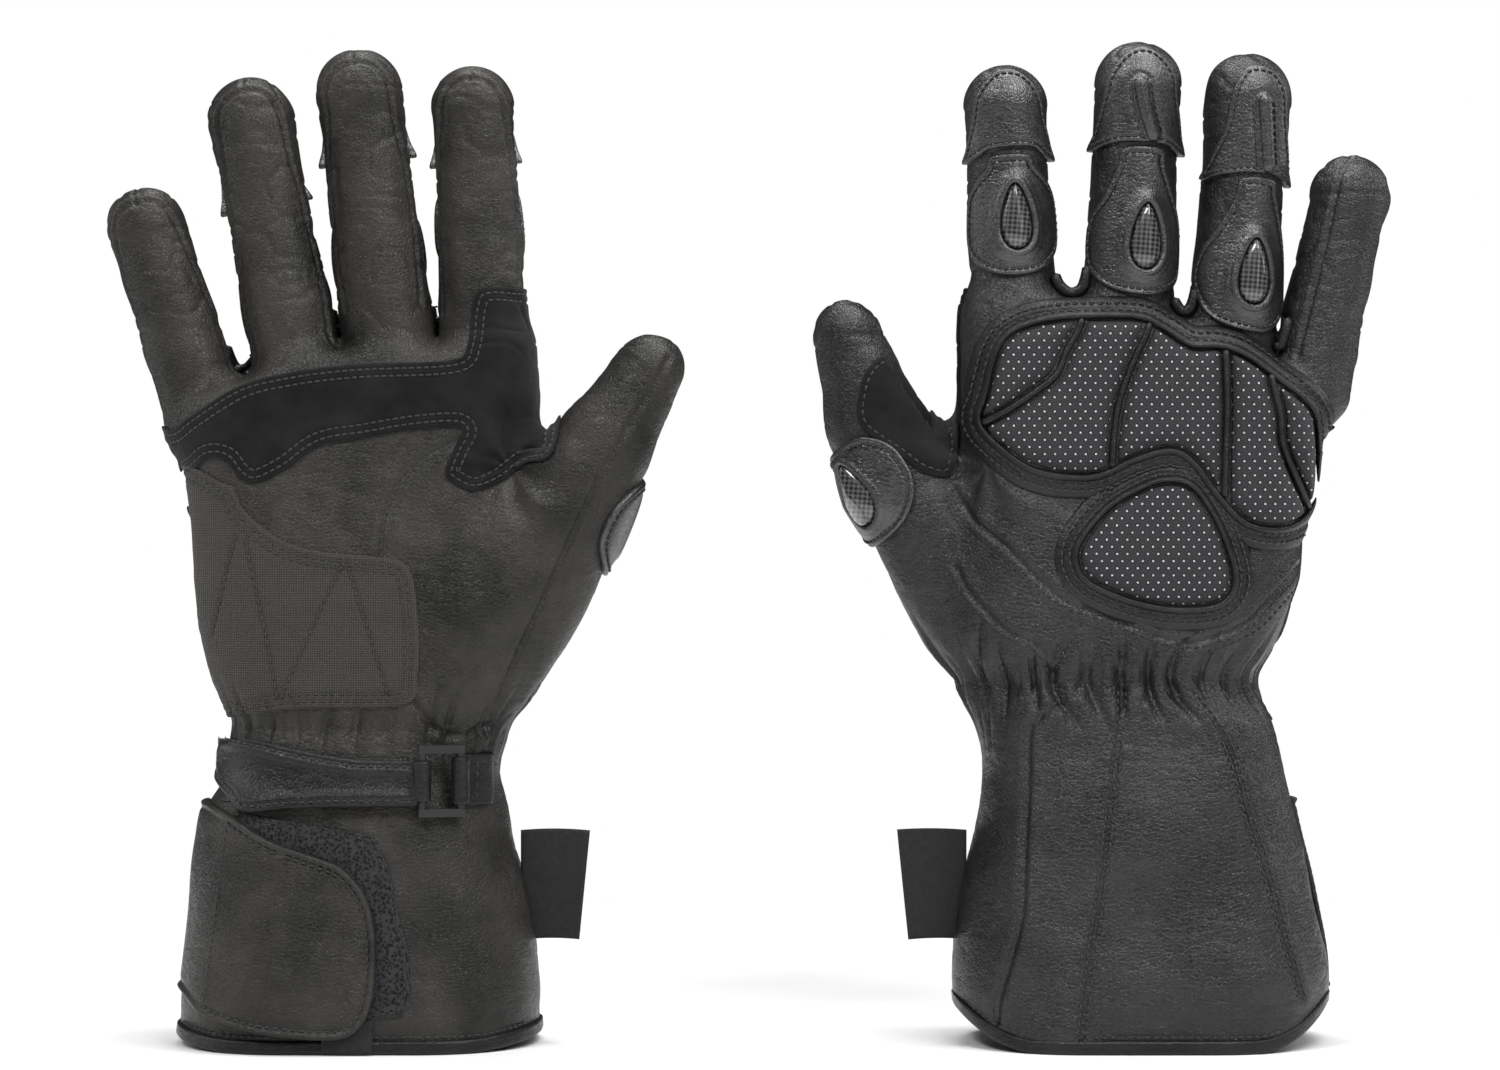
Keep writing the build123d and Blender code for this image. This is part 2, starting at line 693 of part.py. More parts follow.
def make_labels():
    """The folded side label at the thumb seam and the size label on the front of the hem."""
    with BuildPart() as side_label:
        with Locations((CUFF_MIDDLE_WIDTH / 2 - 5, 0, SIDE_LABEL_LOW)):
            Box(SIDE_LABEL_WIDTH + 5, LABEL_THICKNESS, SIDE_LABEL_HEIGHT, align=(Align.MIN, Align.CENTER, Align.MIN))
        add(cuff_body(OVER), mode=Mode.SUBTRACT)
    inside = SKIN + BINDING_PROUD + LAYER_GAP
    half = SIZE_LABEL_WIDTH / 2
    low = MOVING_GAP
    outline = [(-half, low), (half, low), (half, low + SIZE_LABEL_HEIGHT), (-half, low + SIZE_LABEL_HEIGHT)]
    size_label = between(cuff_body(inside + LABEL_THICKNESS), cuff_body(inside), prism(PALM, outline))
    return {"side_label": side_label.part, "size_label": size_label}


# ---- One glove ----

def make_common_pieces():
    """The pieces that are the same on both gloves, with each fingertip in its own digit's frame."""
    pieces = make_strap()
    pieces.update(make_closure())
    pieces.update(make_labels())
    tips = {name: {name + "_tip": make_tip(name)} for name in DIGITS}
    for name in OVERLAY_LENGTH:
        tips[name][name + "_overlay"] = make_overlay(name)
    return pieces, tips


def make_shells(hinges, hem_rise, rooms):
    """The leather panels, the lining and the elastic."""
    pieces = {}
    halves = {"back": side_half(BACK), "palm": side_half(PALM)}
    above_binding = above_hem(hem_rise, BINDING_HEIGHT)
    hand_leather = without(hand_body(hinges, SKIN), hand_body(hinges, LEATHER_IN), rooms)
    cuff_leather = between(cuff_body(SKIN), cuff_body(LEATHER_IN), above_binding)
    for side, half in halves.items():
        pieces[side + "_panel"] = within(hand_leather, half)
        pieces["cuff_" + side] = within(cuff_leather, half)

    lining_outer = hand_body(hinges, LINING)
    tape_outer = within(lining_outer, slab(ELASTIC_LOW, ELASTIC_LOW + ELASTIC_HEIGHT))
    pieces["wrist_elastic"] = without(tape_outer, hand_body(hinges, LINING - ELASTIC))
    tape_room = within(lining_outer, slab(ELASTIC_LOW - LAYER_GAP, ELASTIC_LOW + ELASTIC_HEIGHT + LAYER_GAP))
    tape_room = without(tape_room, hand_body(hinges, LINING - ELASTIC - LAYER_GAP))
    with BuildPart() as lining:
        add(lining_outer)
        add(within(cuff_body(LINING), above_binding))
        add(hand_body(hinges, 0), mode=Mode.SUBTRACT)
        add(cuff_body(0), mode=Mode.SUBTRACT)
        add(rooms, mode=Mode.SUBTRACT)
        add(tape_room, mode=Mode.SUBTRACT)
    pieces["hand_lining"] = lining.part

    hem_zone = without(above_hem(hem_rise, 0), above_binding)
    pieces["hem_binding"] = between(cuff_body(SKIN + BINDING_PROUD), cuff_body(LEATHER_IN), hem_zone)
    return pieces


def make_patches(hinges, rooms):
    """The reinforcements sewn on the palm and in the thumb's crotch."""
    patches = without(hand_body(hinges, OVER + PATCH), hand_body(hinges, OVER), rooms)
    band = prism(PALM, placed(BAND_OUTLINE, BAND_CENTRE, BAND_WIDTH, BAND_HEIGHT))
    heel = prism(PALM, placed(HEEL_PATCH_OUTLINE, HEEL_PATCH_CENTRE, HEEL_PATCH_WIDTH, HEEL_PATCH_HEIGHT))
    crotch_centre = (-CROTCH_PATCH_CENTRE[0], CROTCH_PATCH_CENTRE[1])
    crotch = prism(BACK, placed(CROTCH_PATCH_OUTLINE, crotch_centre, CROTCH_PATCH_WIDTH, CROTCH_PATCH_HEIGHT))
    with BuildPart() as palm_band:
        add(within(patches, band))
        add(within(patches, crotch))
    return {"palm_band": palm_band.part, "heel_patch": within(patches, heel)}


def make_guards(hinges, rooms):
    """The moulded finger guards and their hard shells, each as a group of separate solids."""
    made = [make_finger_guard(name, hinges) for name in GUARD_LENGTH if name != "thumb"]
    made.append(make_thumb_guard(hinges, rooms))
    with BuildPart() as finger_guards:
        for guard, _ in made:
            add(guard)
    with BuildPart() as finger_shells:
        for _, shell in made:
            add(shell)
    return {"finger_guards": finger_guards.part, "finger_shells": finger_shells.part}


def make_glove(stance, common, tips):
    """Every piece of one glove, in the glove's own frame."""
    hinges = stance["hinges"]
    rooms = sockets(hinges)
    pieces = dict(common)
    pieces.update(make_shells(hinges, stance["hem_rise"], rooms))
    pieces.update(make_patches(hinges, rooms))
    pieces.update(make_guards(hinges, rooms))
    pieces.update(make_pads(hinges))
    for name, tip_pieces in tips.items():
        for piece_name, piece in tip_pieces.items():
            pieces[piece_name] = piece.moved(digit_plane(name, hinges).location)
    return pieces


def stand_plane(side):
    """Where a glove stands: the first shows its palm to the front, the second its back."""
    return Plane(origin=(-side * PITCH / 2, 0, 0), x_dir=(side, 0, 0), z_dir=(0, 0, 1))


def main():
    os.makedirs("parts", exist_ok=True)
    common, tips = make_common_pieces()
    standing = {}
    for glove, stance in GLOVES.items():
        stand = stand_plane(stance["side"]).location
        for name, piece in make_glove(stance, common, tips).items():
            standing[glove + "_" + name] = piece.moved(stand)
    boxes = [piece.bounding_box() for piece in standing.values()]
    centre_x = (min(box.min.X for box in boxes) + max(box.max.X for box in boxes)) / 2
    centre_y = (min(box.min.Y for box in boxes) + max(box.max.Y for box in boxes)) / 2
    centring = Location((-centre_x, -centre_y, 0))
    for name, piece in standing.items():
        node = piece.moved(centring)
        node.label = name
        export_step(node, "parts/" + name + ".step")


if __name__ == "__main__":
    main()
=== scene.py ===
import json
import math

import bpy
import numpy as np
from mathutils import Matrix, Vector


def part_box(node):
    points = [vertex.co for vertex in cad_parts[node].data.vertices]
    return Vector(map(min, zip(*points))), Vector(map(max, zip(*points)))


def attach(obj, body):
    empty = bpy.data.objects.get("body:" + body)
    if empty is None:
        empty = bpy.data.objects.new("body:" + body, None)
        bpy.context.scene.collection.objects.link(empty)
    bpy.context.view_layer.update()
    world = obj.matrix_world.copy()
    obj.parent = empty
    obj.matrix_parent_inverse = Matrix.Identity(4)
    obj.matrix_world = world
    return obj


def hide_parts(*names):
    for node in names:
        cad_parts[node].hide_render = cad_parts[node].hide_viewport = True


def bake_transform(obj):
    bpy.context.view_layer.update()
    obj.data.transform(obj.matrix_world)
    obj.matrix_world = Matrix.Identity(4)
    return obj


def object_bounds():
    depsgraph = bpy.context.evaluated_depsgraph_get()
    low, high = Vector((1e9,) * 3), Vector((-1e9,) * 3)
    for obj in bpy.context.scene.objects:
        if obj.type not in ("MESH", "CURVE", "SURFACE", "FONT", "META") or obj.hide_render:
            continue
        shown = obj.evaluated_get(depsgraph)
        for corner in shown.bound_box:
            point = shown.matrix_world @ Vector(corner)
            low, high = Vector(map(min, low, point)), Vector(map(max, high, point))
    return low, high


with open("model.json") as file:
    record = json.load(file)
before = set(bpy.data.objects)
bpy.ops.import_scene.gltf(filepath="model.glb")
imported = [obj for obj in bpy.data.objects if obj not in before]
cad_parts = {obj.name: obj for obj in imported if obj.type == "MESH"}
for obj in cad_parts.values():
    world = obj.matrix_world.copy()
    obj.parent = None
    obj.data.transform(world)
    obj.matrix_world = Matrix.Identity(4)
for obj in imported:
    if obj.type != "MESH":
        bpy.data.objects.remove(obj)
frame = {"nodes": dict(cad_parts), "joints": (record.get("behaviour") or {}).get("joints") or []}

# A pair of leather gauntlet riding gloves, worked out in each glove's own frame in millimetres:
# x towards the thumb, y towards the back of the hand, z up. A field gives the distance to the
# leather's outer surface, and every piece is a meshed field or a curve laid on that surface.

MM = 0.001
CAD_BOX = [list(corner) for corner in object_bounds()]
JOINTS = {joint["name"]: joint for joint in frame["joints"]}

SKIN_STEP = 0.9
LAYER_STEP = 0.6
FINE_STEP = 0.5
SHELL_STEP = 0.45
HEM_STEP = 0.55
SKIN_THICKNESS = 1.2

DIGITS = ["index", "middle", "ring", "little", "thumb"]
FINGERS = DIGITS[:4]
WIDTH = {"index": 27.4, "middle": 29.0, "ring": 28.2, "little": 26.2, "thumb": 31.0}
TIP = {"index": 33.5, "middle": 37.5, "ring": 43.5, "little": 35.0, "thumb": 42.0}
ROOT = {"index": 74.0, "middle": 80.0, "ring": 76.0, "little": 44.0}
DEPTH_SHARE = 0.92
THUMB_BASE = np.array((26.0, -4.0, 112.0))
THUMB_BALL = [(0.0, 25.0, 19.5), (0.5, 25.0, 19.5), (0.78, 20.4, 17.2), (1.0, 15.6, 14.2)]
THUMB_GUARD_TURN = 13.0
THUMB_CROTCH = (50, 0, 188)
CUFF_TOP = 104
SPLIT_BELOW = 13.0
BEND_START, BEND_END = -12.0, 2.0

# Each glove's level sections: height, left edge, right edge, depth.
SECTIONS = {
    "glove1": [
        (0, -58.5, 59.5, 82), (20, -56.5, 58.5, 79), (44, -54, 56.5, 73), (66, -51.5, 50.5, 69),
        (78, -49, 48.5, 65), (88, -43, 46, 60), (96, -42, 45, 57), (106, -42, 46.5, 54), (120, -47, 53, 52), (140, -51.5, 56, 50),
        (160, -53, 55, 47.5), (190, -57, 55.5, 42), (205, -60, 56.5, 39), (222, -58, 57, 35), (240, -56, 57, 30),
    ],
    "glove2": [
        (0, -60, 58, 82), (24, -62, 59.5, 79), (46, -58.5, 58, 72.5), (72, -52, 52, 67), (94, -47.5, 50, 59),
        (106, -44, 50.5, 55), (113, -40, 51, 52), (121, -40, 53, 51), (133, -46, 56, 50.5), (150, -52, 55.5, 49),
        (165, -54, 55, 47), (185, -57, 55.5, 43), (205, -60, 57, 39), (222, -58.5, 58, 36), (250, -55, 57, 30),
    ],
}
HEM_RISE = {"glove1": 3.0, "glove2": 11.0}
HEM_FLAT = 35.0
HEM_EDGE = 59.0
WEBS = {
    "glove1": [(-70, 198), (-47, 214), (-15, 226), (20, 226), (50, 231)],
    "glove2": [(-72, 203), (-49, 219), (-17, 236), (19, 243), (50, 246)],
}
GATHER = {"glove1": (104.0, 9.0, 2.2), "glove2": (119.0, 11.0, 3.9)}


# ---- Small numeric helpers ----

def smooth_min(a, b, reach):
    share = np.clip(0.5 + 0.5 * (b - a) / reach, 0, 1)
    return b + (a - b) * share - reach * share * (1 - share)


def smooth_max(a, b, reach):
    return -smooth_min(-a, -b, reach)


def ease(value):
    value = np.clip(value, 0, 1)
    return value * value * (3 - 2 * value)


def curve_through(at, places, values):
    """A smooth curve through a table, with slopes from the neighbours."""
    places, values = np.asarray(places, float), np.asarray(values, float)
    slopes = np.gradient(values, places)
    at = np.clip(at, places[0], places[-1])
    left = np.clip(np.searchsorted(places, at) - 1, 0, len(places) - 2)
    span = places[left + 1] - places[left]
    t = (at - places[left]) / span
    h00, h10 = (1 + 2 * t) * (1 - t) ** 2, t * (1 - t) ** 2
    h01, h11 = t * t * (3 - 2 * t), t * t * (t - 1)
    return (h00 * values[left] + h10 * span * slopes[left]
            + h01 * values[left + 1] + h11 * span * slopes[left + 1])


def lattice(cell, seed):
    """A repeatable random number from -1 to 1 for each whole-number cell."""
    mixed = cell[..., 0] * 73856093 ^ cell[..., 1] * 19349663 ^ cell[..., 2] * 83492791 ^ seed * 2654435
    mixed = (mixed ^ (mixed >> 13)) * 1274126177
    return ((mixed ^ (mixed >> 16)) & 65535) / 32767.5 - 1


def noise(points, size, seed=0):
    """Smooth noise from about -1 to 1, whose bumps are about size wide."""
    scaled = points / np.asarray(size, float) + 1000.0
    base = np.floor(scaled).astype(np.int64)
    share = scaled - base
    share = share * share * (3 - 2 * share)
    total = 0
    for corner in range(8):
        bits = np.array([corner & 1, corner >> 1 & 1, corner >> 2 & 1])
        weight = np.prod(np.where(bits == 1, share, 1 - share), axis=1)
        total = total + weight * lattice(base + bits, seed)
    return total


def line_distance(points, line):
    """Distance from flat points to an open or closed chain of points."""
    best = np.full(len(points), 1e9)
    for start, end in zip(line[:-1], line[1:]):
        run = end - start
        share = np.clip(((points - start) @ run) / max(run @ run, 1e-9), 0, 1)
        gap = points - start - share[:, None] * run
        best = np.minimum(best, (gap * gap).sum(1))
    return np.sqrt(best)


def spline(points, closed=False, per=8):
    """A Catmull-Rom curve through flat points."""
    points = np.asarray(points, float)
    if closed:
        padded = np.vstack([points[-1], points, points[0], points[1]])
    else:
        padded = np.vstack([2 * points[0] - points[1], points, 2 * points[-1] - points[-2]])
    made = []
    for a, b, c, d in zip(padded[:-3], padded[1:-2], padded[2:-1], padded[3:]):
        for t in np.arange(per) / per:
            made.append(0.5 * (2 * b + (c - a) * t + (2 * a - 5 * b + 4 * c - d) * t ** 2
                               + (3 * b - a - 3 * c + d) * t ** 3))
    if not closed:
        made.append(points[-1])
    return np.array(made)


def bell(value, width):
    """A smooth bump of height 1 where the value is 0."""
    return np.exp(-(value / width) ** 2)


def unit(rows):
    """Vectors brought to length 1."""
    return rows / (np.linalg.norm(rows, axis=1)[:, None] + 1e-9)


def measured(line):
    """How far along a chain each of its points lies."""
    return np.concatenate([[0], np.cumsum(np.linalg.norm(np.diff(line, axis=0), axis=1))])


def resampled(at, far, rows):
    """Rows of numbers along a chain, read at other distances along it."""
    return np.column_stack([np.interp(at, far, column) for column in rows.T])


def side_step(line, by):
    """A chain of flat points moved sideways, to its left where by is above 0."""
    line = np.asarray(line, float)
    run = unit(np.gradient(line, axis=0))
    return line + by * np.column_stack([-run[:, 1], run[:, 0]])


# ---- Meshing a field ----

CORNERS = np.array([[i & 1, i >> 1 & 1, i >> 2 & 1] for i in range(8)])
BLOCK = 5


def sample_blocks(field, low, high, step):
    """The field on a fine grid, worked out only in the blocks that its surface may cross."""
    blocks = np.ceil((np.asarray(high) - low) / (step * BLOCK)).astype(int)
    where = np.stack(np.meshgrid(*[np.arange(n) for n in blocks], indexing="ij"), -1).reshape(-1, 3)
    rough = field(low + (where + 0.5) * BLOCK * step)
    near = np.abs(rough) < BLOCK * step * 0.87 + 0.9
    signs = np.where(rough < 0, -9.0, 9.0).reshape(blocks)
    grid = signs.repeat(BLOCK, 0).repeat(BLOCK, 1).repeat(BLOCK, 2)
    inner = np.stack(np.meshgrid(*[np.arange(BLOCK)] * 3, indexing="ij"), -1).reshape(-1, 3)
    cells = (where[near][:, None, :] * BLOCK + inner[None]).reshape(-1, 3)
    for start in range(0, len(cells), 400000):
        part = cells[start:start + 400000]
        grid[part[:, 0], part[:, 1], part[:, 2]] = field(low + part * step)
    return grid


def net(grid, low, step):
    """Surface net of a sampled field: vertices and four-sided faces that look outwards."""
    inside = grid < 0
    size = np.array(grid.shape) - 1
    count = np.zeros(size, np.uint8)
    for a, b, c in CORNERS:
        count += inside[a:a + size[0], b:b + size[1], c:c + size[2]]
    active = (count > 0) & (count < 8)
    cells = np.argwhere(active)
    index = np.full(size, -1)
    index[active] = np.arange(len(cells))
    total, crossings = np.zeros((len(cells), 3)), np.zeros(len(cells))
    for first in range(8):
        for axis in range(3):
            if CORNERS[first][axis]:
                continue
            second = CORNERS[first].copy()
            second[axis] = 1
            fa = grid[tuple((cells + CORNERS[first]).T)]
            fb = grid[tuple((cells + second).T)]
            cross = (fa < 0) != (fb < 0)
            share = np.where(cross, fa / np.where(cross, fa - fb, 1), 0)
            place = CORNERS[first] + share[:, None] * (second - CORNERS[first])
            total += place * cross[:, None]
            crossings += cross
    verts = low + (cells + total / crossings[:, None]) * step
    quads = []
    for axis in range(3):
        e1, e2 = np.eye(3, dtype=int)[(axis + 1) % 3], np.eye(3, dtype=int)[(axis + 2) % 3]
        ahead = np.roll(inside, -1, axis)
        change = inside != ahead
        change[tuple(slice(-1, None) if k == axis else slice(None) for k in range(3))] = False
        for edge in (e1, e2):
            k = int(np.argmax(edge))
            change[tuple(slice(0, 1) if m == k else slice(None) for m in range(3))] = False
            change[tuple(slice(-1, None) if m == k else slice(None) for m in range(3))] = False
        places = np.argwhere(change)
        ring = [index[tuple((places + shift).T)] for shift in (0 * e1, -e1, -e1 - e2, -e2)]
        faces = np.stack(ring, 1)
        flip = ~inside[tuple(places.T)]
        faces[flip] = faces[flip][:, ::-1]
        quads.append(faces)
    faces = np.vstack(quads)
    return verts, faces[(faces >= 0).all(1)]


def slope_of(field, points, reach=0.12):
    """A field's value and slope at points."""
    base = field(points)
    out = np.empty_like(points)
    for axis in range(3):
        step = np.zeros(3)
        step[axis] = reach
        out[:, axis] = (field(points + step) - base) / reach
    return base, out


def mesh_field(field, low, high, step, rounds=2):
    """A field's surface as vertices and faces, with the vertices drawn onto it."""
    low, high = np.asarray(low, float), np.asarray(high, float)
    verts, faces = net(sample_blocks(field, low, high, step), low, step)
    for _ in range(rounds):
        value, slope = slope_of(field, verts)
        move = -slope * (value / np.maximum((slope ** 2).sum(1), 0.05))[:, None]
        length = np.linalg.norm(move, axis=1)[:, None]
        verts = verts + move * np.minimum(1, 0.5 * step / np.maximum(length, 1e-9))
    return verts, faces


# ---- One glove's surface ----

class Digit:
    """A digit's frame at its hinge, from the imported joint: across, back and along."""

    def __init__(self, glove, name):
        joint = JOINTS[f"{glove.name}_{name}_bend"]
        self.name = name
        self.radius = WIDTH[name] / 2
        self.hinge = glove.local(np.array(joint["pos_m"]) / MM)
        axis = np.array(joint["axis"]) * (glove.side, glove.side, 1)
        lean = math.atan2(-axis[2], axis[0])
        self.along = np.array((math.sin(lean), 0, math.cos(lean)))
        self.across = axis / np.linalg.norm(axis)
        self.back = np.cross(self.along, self.across)

    def frame(self, points):
        gap = points - self.hinge
        return gap @ self.across, gap @ self.back, gap @ self.along

    def place(self, u, w, v):
        """Points in the glove's frame from across, back and along."""
        u, w, v = (np.asarray(x, float)[..., None] for x in (u, w, v))
        return self.hinge + u * self.across + w * self.back + v * self.along

    def distance(self, points):
        """Distance to the digit, worked out only near it."""
        u, w, v = self.frame(points)
        reach = self.radius + 13
        low = -self.root_length() - self.radius - 6
        far = np.maximum(np.maximum(np.abs(u), np.abs(w)) - self.radius, low - v + 6.0)
        near = (np.abs(u) < reach) & (np.abs(w) < reach) & (v > low)
        far[near] = self.near_distance(u[near], w[near], v[near])
        return far

    def root_length(self):
        return ROOT.get(self.name, 26.0)

    def near_distance(self, u, w, v):
        r, tip = self.radius, TIP[self.name]
        if self.name == "thumb":
            stations = [(-30, 1.0), (0, 1.0), (14, 0.93), (tip - 12, 0.78)]
            low = -26.0
        else:
            low = -ROOT[self.name]
            stations = [(low, 1.08), (-36, 1.03), (-14, 0.99), (4, 0.96), (18, 0.98), (tip - r, 1.0)]
        end_share = stations[-1][1]
        top = tip - 1.04 * r * end_share
        ru = r * curve_through(np.clip(v, low, top), *zip(*stations))
        over = np.maximum(v - top, 0) + np.maximum(low - v, 0)
        return oval_distance(u, w, over, ru, ru * DEPTH_SHARE, 1.04 * r * end_share)


def oval_distance(u, w, v, ru, rw, rv):
    scaled = np.sqrt((u / ru) ** 2 + (w / rw) ** 2 + (v / rv) ** 2) + 1e-9
    slope = np.sqrt((u / ru ** 2) ** 2 + (w / rw ** 2) ** 2 + (v / rv ** 2) ** 2) + 1e-9
    return scaled * (scaled - 1) / slope


class Glove:
    """One glove: its place in the frame, its digits and the field of its outer leather."""

    def __init__(self, name):
        self.name = name
        self.side = 1 if name == "glove1" else -1
        low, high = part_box(name + "_hem_binding")
        self.centre = np.array(((low.x + high.x) / 2, (low.y + high.y) / 2, 0)) / MM
        self.digits = {digit: Digit(self, digit) for digit in DIGITS}
        rows = np.array(SECTIONS[name], float)
        self.heights, self.left, self.right, self.depth = rows.T
        thumb = self.digits["thumb"]
        run = thumb.hinge - THUMB_BASE
        self.ball_length = np.linalg.norm(run)
        self.ball_along = run / self.ball_length
        level = np.array((self.ball_along[2], 0, -self.ball_along[0]))
        self.ball_across = level / np.linalg.norm(level)
        self.ball_back = np.cross(self.ball_along, self.ball_across)

    def local(self, point):
        return (np.asarray(point, float) - self.centre) * (self.side, self.side, 1)

    def world(self, points):
        return (np.asarray(points, float) * (self.side, self.side, 1) + self.centre) * MM

    def hem(self, x):
        return HEM_RISE[self.name] * np.clip((np.abs(x) - HEM_FLAT) / (HEM_EDGE - HEM_FLAT), 0, 1.1) ** 2

    def edges(self, z):
        return (curve_through(z, self.heights, self.left), curve_through(z, self.heights, self.right),
                curve_through(z, self.heights, self.depth) / 2)

    def trunk(self, points):
        """Distance to the hand and cuff without the digits."""
        x, y, z = points.T
        left, right, half = self.edges(z)
        corner = 0.93 * half
        qx = np.abs(x - (left + right) / 2) - ((right - left) / 2 - corner)
        qy = np.abs(y) - (half - corner)
        flat = np.hypot(np.maximum(qx, 0), np.maximum(qy, 0)) + np.minimum(np.maximum(qx, qy), 0) - corner
        webs = np.array(WEBS[self.name], float)
        cap = 0.96 * (z - np.interp(x, webs[:, 0], webs[:, 1]))
        return smooth_max(flat, cap, 9.0)

    def ball(self, points):
        gap = points - THUMB_BASE
        u, w, v = gap @ self.ball_across, gap @ self.ball_back, gap @ self.ball_along
        share = v / self.ball_length
        table = np.array(THUMB_BALL)
        ru = curve_through(share, table[:, 0], table[:, 1])
        rw = curve_through(share, table[:, 0], table[:, 2])
        over = np.maximum(v - self.ball_length, 0) + np.maximum(-v, 0)
        return oval_distance(u, w, over, ru, rw, (ru + rw) / 2)

    def surface(self, points):
        """Distance to the outside of the leather."""
        fingers = self.digits["index"].distance(points)
        for name in FINGERS[1:]:
            fingers = smooth_min(fingers, self.digits[name].distance(points), 1.2)
        thumb = smooth_min(self.ball(points), self.digits["thumb"].distance(points), 6.0)
        body = smooth_min(self.trunk(points), fingers, 7.0)
        return smooth_min(body, thumb, 11.0)

    def low_surface(self, points):
        """The same for the cuff and wrist, where no finger reaches."""
        return smooth_min(self.trunk(points), self.ball(points), 11.0)


# ---- Charts: flat maps of the surface ----

class Side:
    """The palm (-1) or the back (+1) of a glove, seen square on: x and z."""

    def __init__(self, glove, facing, cuff=False, relief=None):
        self.glove, self.facing, self.relief, self.fade = glove, facing, relief, None
        self.field = glove.low_surface if cuff else glove.surface

    def flat(self, points):
        return points[:, ::2]

    def limit(self, points):
        return -self.facing * points[:, 1] - 1.0

    def own(self, points):
        return self.facing * points[:, 1] > -1.0

    def ray(self, places):
        start = np.column_stack([places[:, 0], np.full(len(places), self.facing * 55.0), places[:, 1]])
        return start, np.tile((0.0, -self.facing, 0.0), (len(places), 1)), 56.0

    def span(self, outline):
        low, high = outline.loop.min(0) - 3, outline.loop.max(0) + 3
        ys = (-1.0, 52.0) if self.facing > 0 else (-52.0, 1.0)
        return (low[0], ys[0], low[1]), (high[0], ys[1], high[1])


class Round:
    """The outside of a digit unrolled: arc from the middle of its back, and height above the hinge."""

    def __init__(self, glove, name, ball=False):
        self.glove, self.digit, self.relief, self.fade = glove, glove.digits[name], None, None
        self.field = glove.surface
        self.radius = self.digit.radius
        self.axes = (self.digit.across, self.digit.back, self.digit.along)
        if ball:
            along = glove.ball_along
            turn = math.radians(THUMB_GUARD_TURN)
            back = self.digit.back * math.cos(turn) + self.digit.across * math.sin(turn)
            back -= (back @ along) * along
            back /= np.linalg.norm(back)
            self.axes = (np.cross(back, along), back, along)

    def frame(self, points):
        gap = points - self.digit.hinge
        return [gap @ axis for axis in self.axes]

    def flat(self, points):
        u, w, v = self.frame(points)
        return np.column_stack([self.radius * np.arctan2(u, w), v])

    def limit(self, points):
        u, w, _ = self.frame(points)
        return np.maximum(np.hypot(u, w) - self.radius - 9.0, self.lead(points))

    def lead(self, points):
        """How much nearer another finger is than this one."""
        if self.digit.name == "thumb":
            return np.full(len(points), -9.0)
        others = [self.glove.digits[name].distance(points) for name in FINGERS if name != self.digit.name]
        return np.clip(self.digit.distance(points) - np.min(others, axis=0), -9, 9)

    def own(self, points):
        return self.lead(points) < 0

    def ray(self, places):
        across, back, along = self.axes
        turn = places[:, :1] / self.radius
        out = np.sin(turn) * across + np.cos(turn) * back
        return self.digit.hinge + places[:, 1:] * along + out * (self.radius + 9), -out, self.radius + 8

    def span(self, outline):
        start, ray, _ = self.ray(outline.loop)
        ends = np.vstack([start, start + ray * (self.radius + 4)])
        return tuple(ends.min(0) - 2), tuple(ends.max(0) + 2)


def lay(chart, places, level=0.0):
    """Where flat places meet the surface at a level above it, and which way is out there."""
    start, ray, reach = chart.ray(np.asarray(places, float))
    gone = np.zeros(len(start))
    for _ in range(40):
        gone = np.minimum(gone + 0.85 * (chart.field(start + ray * gone[:, None]) - level), reach)
        gone = np.maximum(gone, 0)
    points = start + ray * gone[:, None]
    value, out = slope_of(chart.field, points)
    out = unit(out)
    faced = -(out * ray).sum(1) > 0.3
    if chart.relief is not None:
        points = points + out * chart.relief(points)[:, None]
    return points, out, faced & (np.abs(value - level) < 0.4) & chart.own(points)


